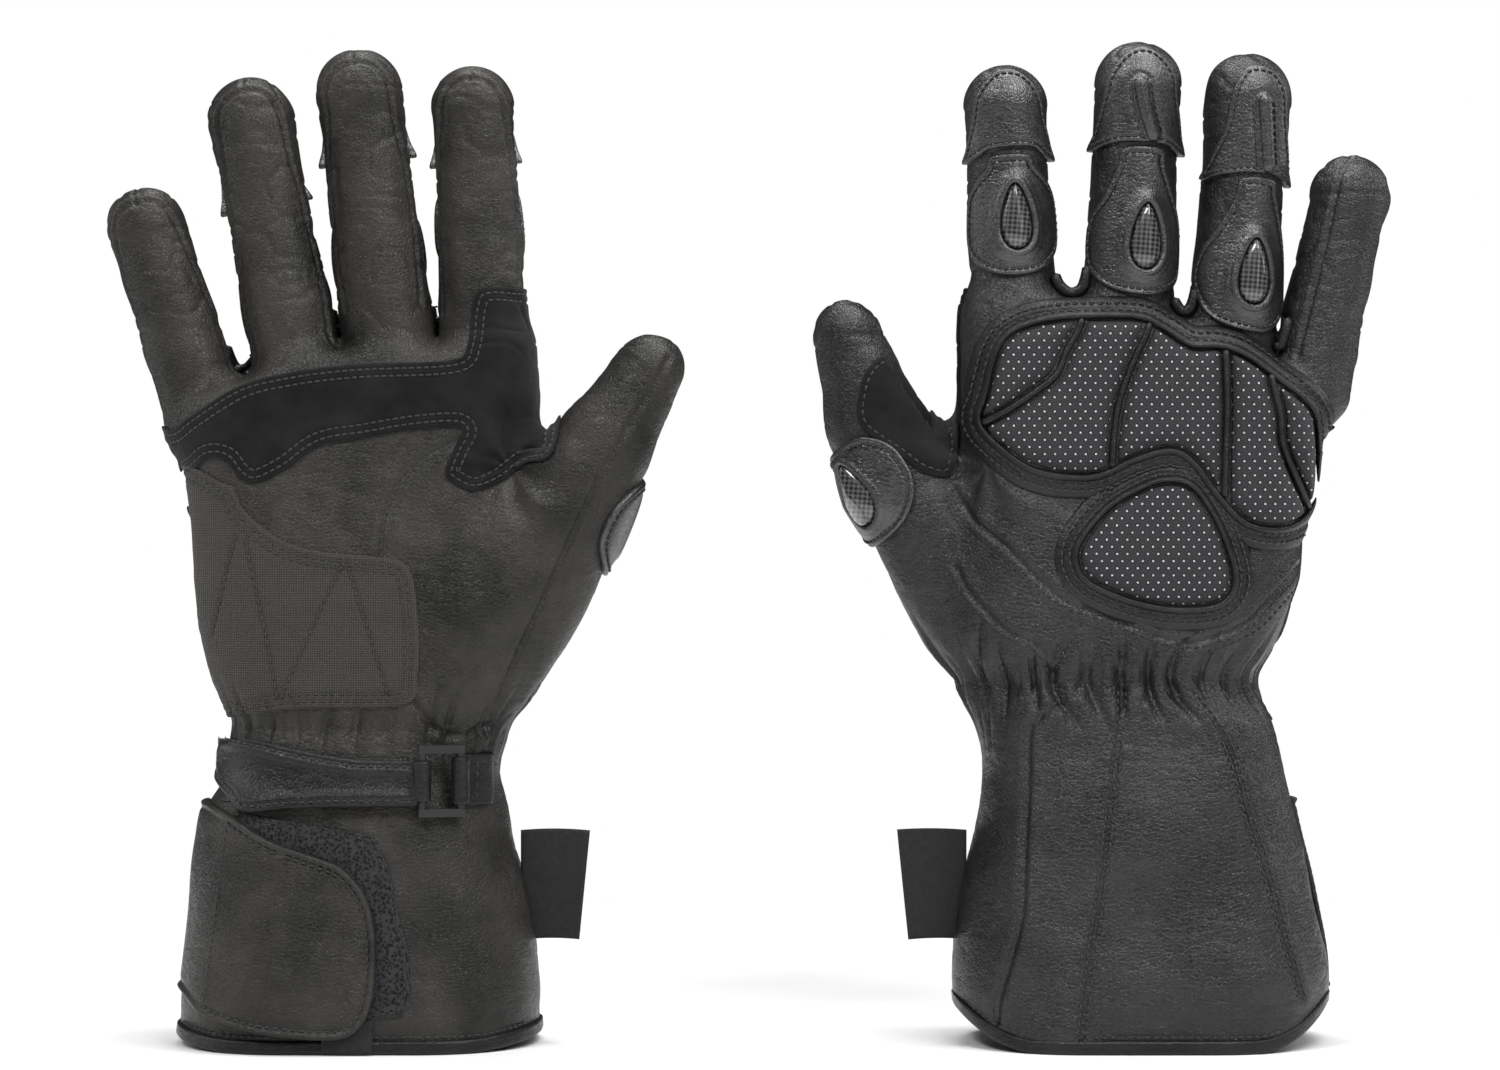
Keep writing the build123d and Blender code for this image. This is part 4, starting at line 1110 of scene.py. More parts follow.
def make_pads(glove):
    back = Side(glove, 1)
    back.fade = lambda points: ease((points[:, 1] - 1.5) / 5)
    grooves = [spline(line) for line in KNUCKLE_GROOVES]

    def cut(places, rim):
        near = np.full(len(places), 9.0)
        close = rim < 4
        for line in grooves:
            near[close] = np.minimum(near[close], line_distance(places[close], line))
        return smooth_max(rim, 1.5 - near, 1.2)

    knuckle = OUTLINES["knuckle_pad"]
    lines = [line[knuckle.distance(line) < 1.0] for line in grooves]
    piping = [tube_mesh(lay(back, line, 2.6)[0], 1.15) for line in lines]
    make_piece(glove, "knuckle_piping", piping, ["trim_leather"])

    for name, extra, full in (("knuckle_pad", cut, 5.4), ("hand_pad", None, 4.8)):
        outline = OUTLINES[name]

        def outer(places, rim, extra=extra, full=full):
            inside = rim if extra is None else extra(places, rim)
            return 1.2 + crown(inside, full - 1.2, 5.5)

        made = make_layer(glove, name, back, outline, outer, "pad_fabric", replaced=[name],
                          inner=0.2, edge=0.8, extra=extra)

        def frame_rim(places, rim, outline=outline):
            return smooth_max(rim, -outline.distance(places) + 0.6, 0.8)

        def frame_height(places, rim, outline=outline):
            from_pad = outline.distance(places)
            swell = 1.5 * bell(from_pad - 1.6, 1.5)
            return 1.9 + swell - 0.5 * bell(from_pad - 3.6, 0.7) - 1.3 * ease((from_pad - 4) / 4.5)

        make_layer(glove, name + "_rim", back, Outline(outline.inset(-PAD_RIM)), frame_height, "trim_leather",
                   stitches=[outline.inset(-3.6), outline.inset(-6.2)], level=1.75, inner=-1.0, edge=1.6,
                   extra=frame_rim)


def make_guards(glove):
    guard_parts, shell_parts = [], []
    for name, points in GUARDS.items():
        chart = Round(glove, name, ball=name == "thumb")
        outline = Outline(points)
        shell = Outline(teardrop(SHELLS[name], SHELL_WIDTH, SHELL_HEIGHT), step=0.35)

        def height(places, rim, shell=shell):
            from_shell = shell.distance(places)
            dome = 1.6 * bell(from_shell - 1.4, 2.2)
            return (1.7 + dome - 0.3 * bell(rim + 2.0, 0.7) - 1.9 * ease((0.4 - from_shell) / 0.8)
                    - 0.35 * bell(from_shell - 2.6, 0.6))

        def glossy(places, rim):
            return 1.2 + crown(rim, 4.0, SHELL_WIDTH * 0.62)

        guard_field = layer_field(chart, outline, -0.8, height, 1.0)
        guard_parts.append((*mesh_field(guard_field, *chart.span(outline), FINE_STEP), OWN))
        guard_parts += stitched(chart, [outline.inset(2.0), shell.inset(-2.6)], 1.75, 2.3)
        shell_field = layer_field(chart, shell, 0.3, glossy, 0.5)
        shell_parts.append((*mesh_field(shell_field, *chart.span(shell), SHELL_STEP), OWN))
    make_piece(glove, "finger_guards", guard_parts, ["guard_leather", "thread"], replaced=["finger_guards"])
    make_piece(glove, "finger_shells", shell_parts, ["hard_shell"], replaced=["finger_shells"])


def make_overlays(glove):
    for name, points in OVERLAYS.items():
        chart = Round(glove, name)
        outline = Outline(points)
        rib = spline(RIBS[name]) if name in RIBS else None

        def wing(places):
            return 1.0 * ease((np.abs(places[:, 0]) - 14) / 6) * ease((7 - places[:, 1]) / 7)

        def underside(points, chart=chart, wing=wing):
            return 0.8 * wing(chart.flat(points)) - 0.8

        def height(places, rim, rib=rib, wing=wing):
            total = 1.7 - 0.3 * bell(rim + 1.7, 0.6) + wing(places)
            if rib is None:
                return total
            near = line_distance(places, rib)
            raised = 1.9 * np.sqrt(np.clip(1 - (near / 2.1) ** 2, 0, 1))
            return total + raised - 0.35 * bell(near - 3.4, 0.7)

        rows = [outline.inset(1.7)]
        if rib is not None:
            rows += [side_step(rib, 3.6), side_step(rib, -3.6)]
        make_layer(glove, name + "_overlay", chart, outline, height, "guard_leather", name + "_end",
                   [name + "_overlay"], rows, 1.65, inner=underside, step=FINE_STEP, spacing=2.3)


def make_beads(glove):
    """The small rolled beads of leather in the crotches between the fingers."""
    heights = np.linspace(200, 262, 125)
    parts = []
    for first, second in zip(FINGERS[:-1], FINGERS[1:]):
        between = 0
        for name in (first, second):
            hinge, along = glove.digits[name].hinge, glove.digits[name].along
            between = between + (hinge[0] + (heights - hinge[2]) * along[0] / along[2]) / 2
        column = np.column_stack([between, np.full(len(heights), 6.0), heights])
        top = int(np.flatnonzero(glove.surface(column) < 0.6).max())
        rise = heights[top] - 5 + np.linspace(0, 26, 53)
        line = []
        for x in between[top] + np.linspace(-7.5, 7.5, 25):
            probe = np.column_stack([np.full(len(rise), x), np.full(len(rise), 7.0), rise])
            above = np.flatnonzero(glove.surface(probe) > 1.0)
            if len(above) and rise[above[0]] < heights[top] + 11:
                line.append((x, 7.0, rise[above[0]]))
        line = np.array(line)
        for _ in range(3):
            line[1:-1] = (line[:-2] + 2 * line[1:-1] + line[2:]) / 4
        parts.append(tube_mesh(line, 1.9, 12))
    make_piece(glove, "web_beads", parts, ["trim_leather"])


# ---- Wrist strap, closure, hem and labels ----

def round_bar(sheet, points, bar, half, blend):
    """A sheet with a loop of itself about an upright bar, which keeps its own room."""
    from_bar = np.hypot(*(points - bar).T[:2])
    loop = smooth_max(from_bar - LOOP_RADIUS, np.abs(points[:, 2] - bar[2]) - half, 0.8)
    return np.maximum(smooth_min(sheet, loop, blend), BAR_RADIUS - from_bar)


def make_strap(glove):
    palm = Side(glove, -1, cuff=True)
    tab_bar, bar = (glove.local(np.array(JOINTS[f"{glove.name}_{joint}"]["pos_m"]) / MM)
                    for joint in ("ring_swing", "strap_open"))
    low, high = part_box(glove.name + "_strap_end")
    middle, half = (low.z + high.z) / 2 / MM, (high.z - low.z) / 2 / MM + 0.5
    tab_bar[2] = bar[2] = middle
    outline = Outline([(bar[0] if x is None else x, middle + side * half + by) for x, side, by in STRAP_END],
                      smooth=False)

    def band(points):
        places = palm.flat(points)
        rim = outline.distance(places)
        near = ease((places[:, 0] - bar[0] + 16) / 16)
        padding = 0.5 * bell(rim + 3.4, 1.5) - 0.35 * bell(rim + 2.0, 0.6)
        sheet = np.abs(palm.field(points) - (2.9 + 0.25 * near)) - 1.15 - padding
        return round_bar(smooth_max(sheet, rim, 1.2), points, bar, half - 2.0, 1.5)

    low, high = (-52, -48, middle - half - 3), (bar[0] + 5, -2, middle + half + 4)
    rows = outline.inset(2.0)
    rows = rows[rows[:, 0] < bar[0] - 4]
    rows = np.roll(rows, -int(np.argmax(rows[:, 0])), axis=0)
    jumps = np.linalg.norm(np.diff(rows, axis=0), axis=1)
    cut = int(np.argmax(jumps))
    pieces = [rows[:cut + 1], rows[cut + 1:]] if jumps[cut] > 6 else [rows]
    parts = [(*mesh_field(band, low, high, FINE_STEP), OWN)]
    parts += stitched(palm, [piece for piece in pieces if len(piece) > 3], 4.15)
    make_piece(glove, "strap_end", parts, ["trim_leather", "thread"], "strap_end", ["strap_end"])

    base = [(-43, -7.4), (bar[0] - 5, -7.4), (bar[0] - 5, 7.4), (-43, 7.4)]
    make_layer(glove, "strap_base", palm, Outline([(x, middle + z) for x, z in base], smooth=False), 1.5,
               "trim_leather", replaced=["strap_base"])

    near_edge, edge = tab_bar[0] - 0.5, tab_bar[0] + 9.5
    corners = [(near_edge, -8), (edge, -8.2), (edge, 8.2), (near_edge, 8)]
    tab_outline = Outline([(x, middle + z) for x, z in corners], smooth=False)

    def tab(points):
        height = palm.field(points)
        sheet = smooth_max(height - 2.0, -0.6 - height, 0.4)
        sheet = smooth_max(sheet, tab_outline.distance(palm.flat(points)), 0.8)
        return round_bar(sheet, points, tab_bar, 7.6, 2.0)

    low, high = (tab_bar[0] - 6, -46, middle - 11), (edge + 3, -4, middle + 11)
    parts = [(*mesh_field(tab, low, high, FINE_STEP), OWN)]
    parts += stitched(palm, [[(tab_bar[0] + 4.6, middle - 6.5), (tab_bar[0] + 4.6, middle + 6.5)]], 2.0)
    make_piece(glove, "strap_tab", parts, ["trim_leather", "thread"], replaced=["strap_tab"])


def make_closure(glove):
    palm = Side(glove, -1, cuff=True)
    loop = OUTLINES["loop_patch"]

    def nap(places, rim):
        fuzz = noise(np.column_stack([places, places[:, :1] * 0]), 1.3, 21)
        return 1.1 + 0.22 * fuzz - 0.3 * bell(rim + 1.3, 0.6)

    make_layer(glove, "cuff_loop", palm, loop, nap, "hook_loop", replaced=["cuff_loop"],
               stitches=[loop.inset(1.3)], level=1.0)
    outline = OUTLINES["flap"]

    def lifted(points):
        """How far the flap stands off the cuff: none at its sewn side edge, and clear of the loop patch."""
        left, _, _ = glove.edges(points[:, 2])
        return ease((points[:, 0] - left - 1.0) / 9.0)

    def field(points):
        places = palm.flat(points)
        rim = outline.distance(places)
        height = palm.field(points)
        off = lifted(points)
        rise = 2.05 * off
        waves = 0.35 * noise(points, (18, 14, 20), 22)
        bead = 0.75 * bell(rim + 1.0, 1.0) - 0.35 * bell(rim + 2.9, 0.65)
        top = height - (rise + 1.75 + bead + waves)
        low = rise - 0.05 + waves * off - height
        sheet = smooth_max(smooth_max(top, rim, 1.3), low, 0.3)
        return np.maximum(sheet, points[:, 1] + 1.0)

    row = outline.inset(2.9)
    row = row[row[:, 0] > glove.edges(row[:, 1])[0] + 9.5]
    cut = int(np.argmax(np.linalg.norm(np.diff(row, axis=0), axis=1)))
    row = np.vstack([row[cut + 1:], row[:cut + 1]])
    high = (palm.span(outline)[1][0], 0, 84)
    parts = [(*mesh_field(field, (-68, -52, 2), high, LAYER_STEP), OWN)]
    parts += stitched(palm, [row], 3.75)
    make_piece(glove, "cuff_flap", parts, ["palm_leather", "thread"], "flap", ["cuff_flap"])


def make_hem(glove):
    """The bound hem: a rolled strip of leather round the whole edge, with its row of stitches."""
    def field(points):
        height = glove.trunk(points)
        up = points[:, 2] - glove.hem(points[:, 0]) - 2.25
        body = np.maximum(np.abs(height + 0.35) - 1.55, np.abs(up) - 2.2)
        qx = np.maximum(np.abs(height + 0.35) - 0.65, 0)
        qz = np.maximum(np.abs(up) - 1.3, 0)
        return np.where(np.maximum(qx, qz) > 0, np.hypot(qx, qz) - 0.9, body)

    high = (66, 45, HEM_RISE[glove.name] + 9)
    parts = [(*mesh_field(field, (-66, -45, -1), high, HEM_STEP), OWN)]
    xs = np.linspace(-56, 56, 90)
    row = np.column_stack([xs, glove.hem(xs) + 5.6])
    for facing in (-1, 1):
        parts += stitched(Side(glove, facing, cuff=True), [row], 0.1)
    make_piece(glove, "hem_binding", parts, ["trim_leather", "thread"], replaced=["hem_binding"])


def make_cloth(glove, name, grid, outward, thickness):
    """A thin closed sheet of label cloth from a grid of its middle points, as a piece."""
    n, m = grid.shape[:2]
    verts = np.concatenate([grid + outward * thickness / 2, grid - outward * thickness / 2]).reshape(-1, 3)
    quads = []
    for i in range(n - 1):
        for j in range(m - 1):
            a, b, c, d = i * m + j, i * m + j + 1, (i + 1) * m + j + 1, (i + 1) * m + j
            quads += [(a, b, c, d), (a + n * m, d + n * m, c + n * m, b + n * m)]
    loop = [i * m for i in range(n)] + [(n - 1) * m + j for j in range(1, m)]
    loop += [i * m + m - 1 for i in range(n - 2, -1, -1)] + list(range(m - 2, 0, -1))
    quads += [(a, b, b + n * m, a + n * m) for a, b in zip(loop, loop[1:] + loop[:1])]
    return make_piece(glove, name, [(verts, np.array(quads), OWN)], ["label"], replaced=[name])


def make_labels(glove):
    """The bare folded label in the thumb-side seam and the bare size label under the hem."""
    right = glove.edges(np.array([LABEL_LOW + LABEL_HEIGHT / 2]))[1][0]
    rise = np.linspace(0, LABEL_HEIGHT, 25)
    fold = []
    for k in np.linspace(0, 1, 17):
        sway = 1.3 * np.sin(2.4 * k + 0.05 * rise) * k - 0.8 * k * np.sin(rise / 13)
        lean = 1.2 * (rise - rise[-1] / 2) / rise[-1] * k * 3
        fold.append(np.column_stack([right - 1.5 + k * LABEL_WIDTH + lean, -0.6 + sway,
                                     LABEL_LOW + rise + 2.0 * k * (1 - k)]))
    made = make_cloth(glove, "side_label", np.array(fold), np.array((0.0, 1.0, 0.0)), LABEL_SHEET)
    low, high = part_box(glove.name + "_size_label")
    width, tall = (high.x - low.x) / MM, SIZE_LABEL_HEIGHT
    xs, zs = np.linspace(-width / 2, width / 2, 12), np.linspace(0.4, 0.4 + tall, 8)
    depths = glove.edges(zs)[2]
    front = []
    for x in xs:
        sway = 0.3 * np.sin(0.4 * zs + 0.2 * x)
        front.append(np.column_stack([np.full(len(zs), x), -depths - 1.7 - sway, zs]))
    made = make_cloth(glove, "size_label", np.array(front), np.array((0.0, -1.0, 0.0)), SIZE_LABEL_SHEET)


def make_stitch_rows(glove, skin):
    """The stitch rows of the skin's own seams."""
    back, palm = (Side(glove, facing, relief=skin.height) for facing in (1, -1))
    back_cuff = Side(glove, 1, cuff=True, relief=skin.height)
    rows = [(back, YOKE_SEAM, (1.6, 4.2)), (back, SIDE_SEAM, (1.5,))]
    rows += [(back_cuff, line, steps) for line, steps in CUFF_SEAMS]
    rows += [(palm, THENAR_SEAM, (0.9, 3.3))]
    parts = []
    for side, line, steps in rows:
        parts += stitched(side, [side_step(spline(line), by) for by in steps], SEAM_LEVEL, mark=OWN)
    make_piece(glove, "seam_stitches", parts, ["thread"])


def prepare_skin(glove):
    skin = Skin(glove)
    for facing, line, depth, width, swell in (
        (1, YOKE_SEAM, 0.9, 0.9, 0.35), (1, SIDE_SEAM, 0.8, 0.9, 0.3), (-1, THENAR_SEAM, 0.7, 0.8, 0.3),
        (-1, LOWER_THENAR_SEAM, 1.0, 1.0, 0.5), *((1, line, 0.9, 1.0, 0.35) for line, _ in CUFF_SEAMS),
    ):
        skin.side_line(facing, spline(line), depth, width, swell)
    thumb = glove.digits["thumb"]
    seam = []
    for u, v in THUMB_SEAM:
        along = thumb.along if v > 0 else glove.ball_along
        seam.append(thumb.hinge[::2] + v * along[::2] + u * np.array((along[2], -along[0])))
    skin.side_line(-1, spline(seam), 0.8, 0.8, 0.3, above=13.0)
    for name in FINGERS:
        half, tip = math.pi * glove.digits[name].radius, TIP[name]
        skin.digit_line(name, spline(panel_edge(half, tip)), 1.0, 0.8, 0.3, wrap=True)
        skin.digit_line(name, [(half, tip - 6), (half, tip + 3)], 0.8, 0.7, wrap=True)
    skin.digit_line("little", LITTLE_SEAM, 0.8, 0.8, 0.3)
    return skin


# ---- Materials ----

class Shader:
    """A small helper for a Principled material and its nodes."""

    def __init__(self, name, roughness, sheen=0.0, coat=0.0, coat_roughness=0.1, specular=0.5):
        self.material = bpy.data.materials.new(name)
        self.material.use_nodes = True
        self.tree = self.material.node_tree
        self.base = self.tree.nodes["Principled BSDF"]
        self.base.inputs["Roughness"].default_value = roughness
        self.base.inputs["Sheen Weight"].default_value = sheen
        self.base.inputs["Sheen Roughness"].default_value = 0.5
        self.base.inputs["Coat Weight"].default_value = coat
        self.base.inputs["Coat Roughness"].default_value = coat_roughness
        self.base.inputs["Specular IOR Level"].default_value = specular
        self.place = self.node("ShaderNodeTexCoord").outputs["Object"]
        MATERIALS[name] = self.material

    def node(self, kind, **values):
        made = self.tree.nodes.new(kind)
        for key, value in values.items():
            setattr(made, key, value)
        return made

    def link(self, source, target):
        self.tree.links.new(source, target)

    def noise(self, scale, detail=3.0, rough=0.55, vector=None):
        made = self.node("ShaderNodeTexNoise")
        made.inputs["Scale"].default_value = scale
        made.inputs["Detail"].default_value = detail
        made.inputs["Roughness"].default_value = rough
        self.link(vector or self.place, made.inputs["Vector"])
        return made.outputs["Fac"]

    def voronoi(self, scale, feature="F1", vector=None):
        made = self.node("ShaderNodeTexVoronoi", feature=feature)
        made.inputs["Scale"].default_value = scale
        self.link(vector or self.place, made.inputs["Vector"])
        return made.outputs["Distance"]

    def math(self, kind, *values):
        made = self.node("ShaderNodeMath", operation=kind)
        for socket, value in zip(made.inputs, values):
            if isinstance(value, (int, float)):
                socket.default_value = value
            else:
                self.link(value, socket)
        return made.outputs[0]

    def ramp(self, value, low, high, out_low=0.0, out_high=1.0):
        made = self.node("ShaderNodeMapRange")
        self.link(value, made.inputs["Value"])
        for key, number in (("From Min", low), ("From Max", high), ("To Min", out_low), ("To Max", out_high)):
            made.inputs[key].default_value = number
        return made.outputs["Result"]

    def mix(self, share, first, second):
        made = self.node("ShaderNodeMix", data_type="RGBA")
        self.link(share, made.inputs["Factor"])
        for key, value in ((6, first), (7, second)):
            if isinstance(value, tuple):
                made.inputs[key].default_value = (*value, 1)
            else:
                self.link(value, made.inputs[key])
        return made.outputs[2]

    def stretched(self, scale, turn=(0, 0, 0)):
        made = self.node("ShaderNodeMapping")
        made.inputs["Scale"].default_value = scale
        made.inputs["Rotation"].default_value = turn
        self.link(self.place, made.inputs["Vector"])
        return made.outputs["Vector"]

    def colour(self, value):
        self.link(value, self.base.inputs["Base Color"])

    def roughness(self, value):
        self.link(value, self.base.inputs["Roughness"])

    def bump(self, *layers):
        """Bumps one over the other: each is a height, a strength and a distance."""
        normal = None
        for height, strength, distance in layers:
            made = self.node("ShaderNodeBump")
            made.inputs["Strength"].default_value = strength
            made.inputs["Distance"].default_value = distance
            self.link(height, made.inputs["Height"])
            if normal is not None:
                self.link(normal, made.inputs["Normal"])
            normal = made.outputs["Normal"]
        self.link(normal, self.base.inputs["Normal"])


def leather(name, dark, light, roughness, grain=1.0, specular=0.30):
    shader = Shader(name, roughness, specular=specular)
    patches = shader.noise(38, 6)
    pebble = shader.voronoi(780, "DISTANCE_TO_EDGE")
    creases = shader.noise(260, 5, 0.6, shader.stretched((1.0, 1.0, 1.9)))
    tone = shader.ramp(patches, 0.36, 0.64)
    shader.colour(shader.mix(tone, dark, light))
    worn = shader.ramp(creases, 0.35, 0.7, roughness - 0.07, roughness + 0.08)
    shader.roughness(worn)
    shader.bump((shader.ramp(pebble, 0.0, 0.16), 0.40 * grain, 0.00025), (creases, 0.6 * grain, 0.0007),
                (shader.noise(90, 3), 0.4 * grain, 0.0014))


def make_suede():
    shader = Shader("suede", 0.92, sheen=0.08, specular=0.12)
    nap = shader.noise(1700, 3, 0.7)
    brushed = shader.noise(70, 4, 0.6)
    shader.colour(shader.mix(shader.ramp(brushed, 0.3, 0.7), (0.006, 0.006, 0.006), (0.016, 0.0155, 0.0155)))
    shader.bump((nap, 0.7, 0.0004), (brushed, 0.3, 0.0008))


def weave(shader, pitch, turn):
    """The height of a plain weave: two crossed sets of threads."""
    place = shader.stretched((1, 1, 1), turn)
    split = shader.node("ShaderNodeSeparateXYZ")
    shader.link(place, split.inputs[0])
    turns = [shader.math("MULTIPLY", split.outputs[axis], 2 * math.pi / pitch) for axis in (0, 2)]
    return shader.math("MULTIPLY", *[shader.math("SINE", turn) for turn in turns])


def make_canvas():
    shader = Shader("heel_canvas", 0.82, sheen=0.06, specular=0.2)
    cross = weave(shader, 0.0011, (0, math.radians(45), 0))
    mottle = shader.noise(120, 4, 0.7)
    shader.colour(shader.mix(shader.ramp(cross, -0.8, 0.8), (0.026, 0.0245, 0.0225), (0.070, 0.065, 0.058)))
    shader.bump((cross, 0.6, 0.0003), (mottle, 0.3, 0.0006))


def make_pad_fabric():
    """Woven fabric with staggered rows of small pale dots."""
    shader = Shader("pad_fabric", 0.7, sheen=0.04, specular=0.3)
    split = shader.node("ShaderNodeSeparateXYZ")
    shader.link(shader.place, split.inputs[0])
    x, z = split.outputs[0], split.outputs[2]
    across, up = 0.0033, 0.0023
    row = shader.math("FLOOR", shader.math("DIVIDE", z, up))
    shift = shader.math("FRACT", shader.math("MULTIPLY", row, 0.5))
    part_x = shader.math("FRACT", shader.math("ADD", shader.math("DIVIDE", x, across), shift))
    part_z = shader.math("FRACT", shader.math("DIVIDE", z, up))
    gap_x = shader.math("MULTIPLY", shader.math("SUBTRACT", part_x, 0.5), across)
    gap_z = shader.math("MULTIPLY", shader.math("SUBTRACT", part_z, 0.5), up)
    squares = [shader.math("POWER", gap, 2.0) for gap in (gap_x, gap_z)]
    near = shader.math("SQRT", shader.math("ADD", *squares))
    dot = shader.ramp(near, 0.00026, 0.00042, 1.0, 0.0)
    hole = shader.ramp(near, 0.00060, 0.00090, 1.0, 0.0)
    cross = weave(shader, 0.0009, (0, math.radians(32), 0))
    cloth = shader.mix(shader.ramp(cross, -0.8, 0.8), (0.012, 0.0125, 0.0135), (0.034, 0.035, 0.038))
    dark = shader.mix(hole, cloth, (0.010, 0.010, 0.011))
    shader.colour(shader.mix(dot, dark, (0.5, 0.5, 0.52)))
    shader.bump((cross, 0.45, 0.0003), (shader.ramp(near, 0.0, 0.0008), 0.5, 0.0003))


def make_shell_material():
    """Woven fibre under a clear gloss."""
    shader = Shader("hard_shell", 0.35, coat=1.0, coat_roughness=0.04, specular=0.5)
    cross = weave(shader, 0.0022, (0, math.radians(40), 0))
    share = shader.ramp(cross, -0.15, 0.15)
    shader.colour(shader.mix(share, (0.006, 0.006, 0.0065), (0.095, 0.095, 0.10)))
    shader.roughness(shader.ramp(cross, -0.3, 0.3, 0.42, 0.2))


def make_plain_materials():
    shader = Shader("thread", 0.6, sheen=0.1, specular=0.4)
    shader.colour(shader.mix(shader.noise(900, 2), (0.010, 0.010, 0.010), (0.040, 0.040, 0.041)))
    shader.bump((shader.noise(2600, 2), 0.4, 0.0002))
    shader = Shader("ring_plastic", 0.42, specular=0.5)
    shader.colour(shader.mix(shader.noise(200, 3), (0.010, 0.010, 0.010), (0.018, 0.018, 0.019)))
    shader.bump((shader.noise(1500, 2), 0.12, 0.0002))
    shader = Shader("hook_loop", 0.95, sheen=0.1, specular=0.15)
    loops = shader.ramp(shader.voronoi(900), 0.2, 0.7)
    shader.colour(shader.mix(loops, (0.004, 0.004, 0.005), (0.045, 0.046, 0.048)))
    shader.bump((shader.noise(1100, 4, 0.8), 1.0, 0.0009))
    for name, pitch, dark, light in (("label", 0.0007, (0.010, 0.010, 0.010), (0.020, 0.020, 0.021)),
                                     ("elastic", 0.0016, (0.016, 0.016, 0.016), (0.045, 0.045, 0.045)),
                                     ("lining", 0.0020, (0.020, 0.020, 0.021), (0.045, 0.045, 0.046))):
        shader = Shader(name, 0.8, sheen=0.15, specular=0.3)
        cross = weave(shader, pitch, (0, 0, 0))
        fuzz = shader.noise(600, 4, 0.7)
        shader.colour(shader.mix(shader.ramp(fuzz, 0.3, 0.7), dark, light))
        shader.bump((cross, 0.4, 0.0002), (fuzz, 0.3, 0.0003))


def make_materials():
    leather("palm_leather", (0.010, 0.0095, 0.0084), (0.035, 0.0329, 0.0292), 0.37)
    leather("back_leather", (0.0062, 0.0064, 0.0067), (0.0185, 0.0193, 0.0203), 0.36, specular=0.45)
    leather("trim_leather", (0.006, 0.0062, 0.0064), (0.016, 0.0165, 0.017), 0.35, 0.7)
    # The guards' and overlays' leather: the trim leather with a lighter colour and stronger specular, a painted
    # highlight.
    leather("guard_leather", (0.008, 0.0082, 0.0084), (0.021, 0.0215, 0.022), 0.34, 0.7, 0.9)
    make_suede()
    make_canvas()
    make_pad_fabric()
    make_shell_material()
    make_plain_materials()


# ---- Stage ----

FLOOR_REACH = 6.0
FLOOR_FADE = (0.22, 0.5)
SOFT_LIGHT = 0.06
LENS, SENSOR = 100, 36
PHOTO_WIDTH, PAIR_WIDTH = 1500, 1276  # the photograph and the pair in it, in its pixels
LAMPS = [
    ("key", (-0.8, -0.95, 1.5), 14, (0.5, 0.4)), ("fill", (1.2, -1.3, 0.7), 2, (0.7, 0.9)),
    ("top", (0.1, 0.15, 1.35), 15, (1.2, 0.4)), ("near", (0.42, -0.72, 1.0), 9, (0.7, 0.5)),
    ("left", (-1.3, 0.1, 0.7), 5, (0.5, 0.9)), ("right", (1.3, 0.3, 0.8), 6, (0.5, 0.9)),
]


def link_object(name, data):
    made = bpy.data.objects.new(name, data)
    bpy.context.scene.collection.objects.link(made)
    return made


def mix_shaders(tree, share, first, second, output):
    choice = tree.nodes.new("ShaderNodeMixShader")
    for source, target in zip((share, first, second), choice.inputs):
        tree.links.new(source, target)
    tree.links.new(choice.outputs[0], tree.nodes[output].inputs["Surface"])


def make_floor():
    """A pale floor that keeps the shadow near the gloves and is plain white to the camera further out."""
    mesh = bpy.data.meshes.new("floor")
    corners = [(x * FLOOR_REACH, y * FLOOR_REACH, 0) for x, y in ((-1, -1), (1, -1), (1, 1), (-1, 1))]
    mesh.from_pydata(corners, [], [(0, 1, 2, 3)])
    floor = link_object("floor", mesh)
    shader = Shader("floor_white", 0.9)
    shader.base.inputs["Base Color"].default_value = (0.92, 0.92, 0.92, 1)
    far = shader.node("ShaderNodeVectorMath", operation="LENGTH")
    shader.link(shader.place, far.inputs[0])
    camera_ray = shader.node("ShaderNodeLightPath").outputs["Is Camera Ray"]
    share = shader.math("MULTIPLY", shader.ramp(far.outputs["Value"], *FLOOR_FADE), camera_ray)
    plain = shader.node("ShaderNodeEmission")
    plain.inputs["Color"].default_value = (1, 1, 1, 1)
    mix_shaders(shader.tree, share, shader.base.outputs["BSDF"], plain.outputs[0], "Material Output")
    mesh.materials.append(shader.material)


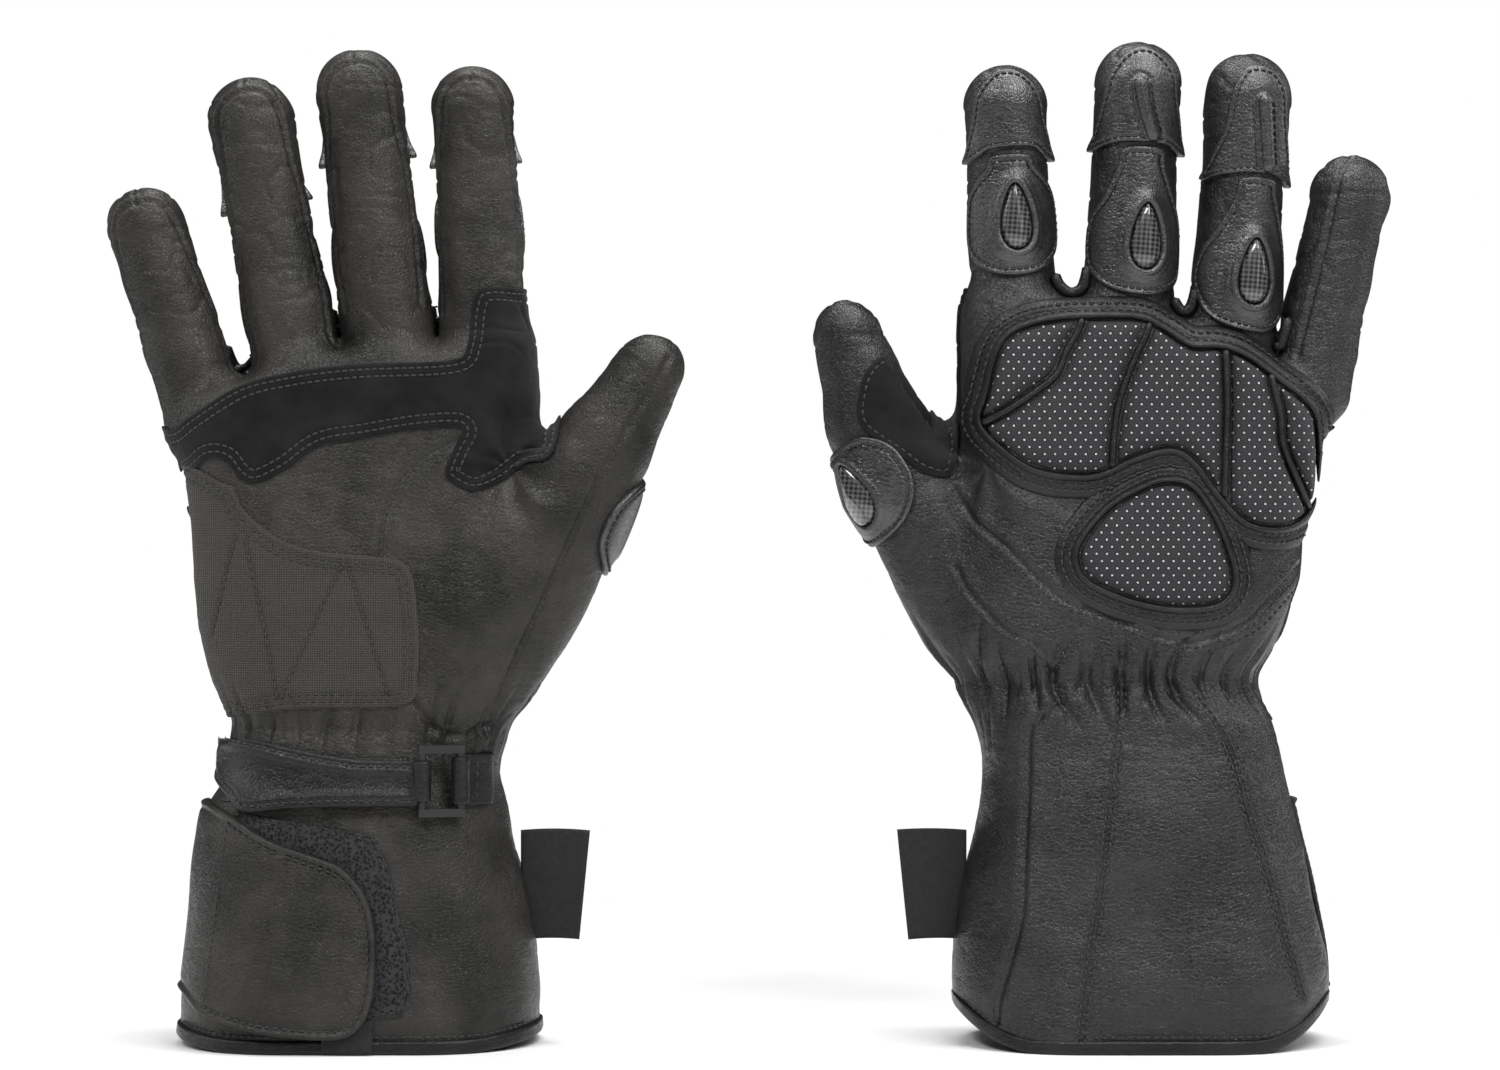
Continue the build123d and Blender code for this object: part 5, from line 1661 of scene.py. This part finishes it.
def make_world():
    """A weak soft light from all round, and a white background."""
    world = bpy.data.worlds.new("studio")
    bpy.context.scene.world = world
    world.use_nodes = True
    tree = world.node_tree
    soft, white = tree.nodes["Background"], tree.nodes.new("ShaderNodeBackground")
    for shade, strength in ((soft, SOFT_LIGHT), (white, 1.0)):
        shade.inputs["Color"].default_value = (1, 1, 1, 1)
        shade.inputs["Strength"].default_value = strength
    rays = tree.nodes.new("ShaderNodeLightPath")
    seen = tree.nodes.new("ShaderNodeMath")
    seen.operation = "MAXIMUM"
    tree.links.new(rays.outputs["Is Camera Ray"], seen.inputs[0])
    tree.links.new(rays.outputs["Is Transmission Ray"], seen.inputs[1])
    mix_shaders(tree, seen.outputs[0], soft.outputs[0], white.outputs[0], "World Output")


def make_stage(low, high):
    size = Vector(high) - Vector(low)
    middle = (Vector(low) + Vector(high)) / 2
    make_floor()
    make_world()
    for name, place, power, area in LAMPS:
        lamp = bpy.data.lights.new(name, "AREA")
        lamp.shape = "RECTANGLE"
        lamp.size, lamp.size_y = area
        lamp.energy = power
        made = link_object(name, lamp)
        made.location = place
        made.rotation_mode = "QUATERNION"
        made.rotation_quaternion = (middle - Vector(place)).to_track_quat("-Z", "Y")
    camera = bpy.data.cameras.new("camera")
    camera.lens = LENS
    camera.sensor_width = SENSOR
    made = link_object("camera", camera)
    distance = PHOTO_WIDTH / PAIR_WIDTH * size.x * LENS / SENSOR
    made.location = (0.0006, middle.y - distance, middle.z + 0.002)
    made.rotation_euler = (math.radians(90), 0, 0)
    bpy.context.scene.camera = made
    bpy.context.scene.view_settings.view_transform = "Standard"


OUTLINES = {
    "knuckle_pad": Outline(KNUCKLE_PAD, margin=14), "hand_pad": Outline(HAND_PAD, margin=14),
    "palm_band": Outline(PALM_BAND), "heel_patch": Outline(HEEL_PATCH),
    "loop_patch": Outline(LOOP_PATCH, smooth=False), "flap": Outline(FLAP),
}


def make_glove(name):
    glove = Glove(name)
    skin = prepare_skin(glove)
    make_skin(glove, skin)
    make_lining(glove)
    make_palm_pieces(glove, skin)
    make_pads(glove)
    make_guards(glove)
    make_overlays(glove)
    make_beads(glove)
    make_strap(glove)
    make_closure(glove)
    make_hem(glove)
    make_labels(glove)
    make_stitch_rows(glove, skin)
    for node, material in (("strap_ring", "ring_plastic"), ("flap_hook", "hook_loop")):
        mesh = frame["nodes"][f"{name}_{node}"].data
        mesh.materials.clear()
        mesh.materials.append(MATERIALS[material])


make_materials()
for glove_name in SECTIONS:
    make_glove(glove_name)
make_stage(*CAD_BOX)
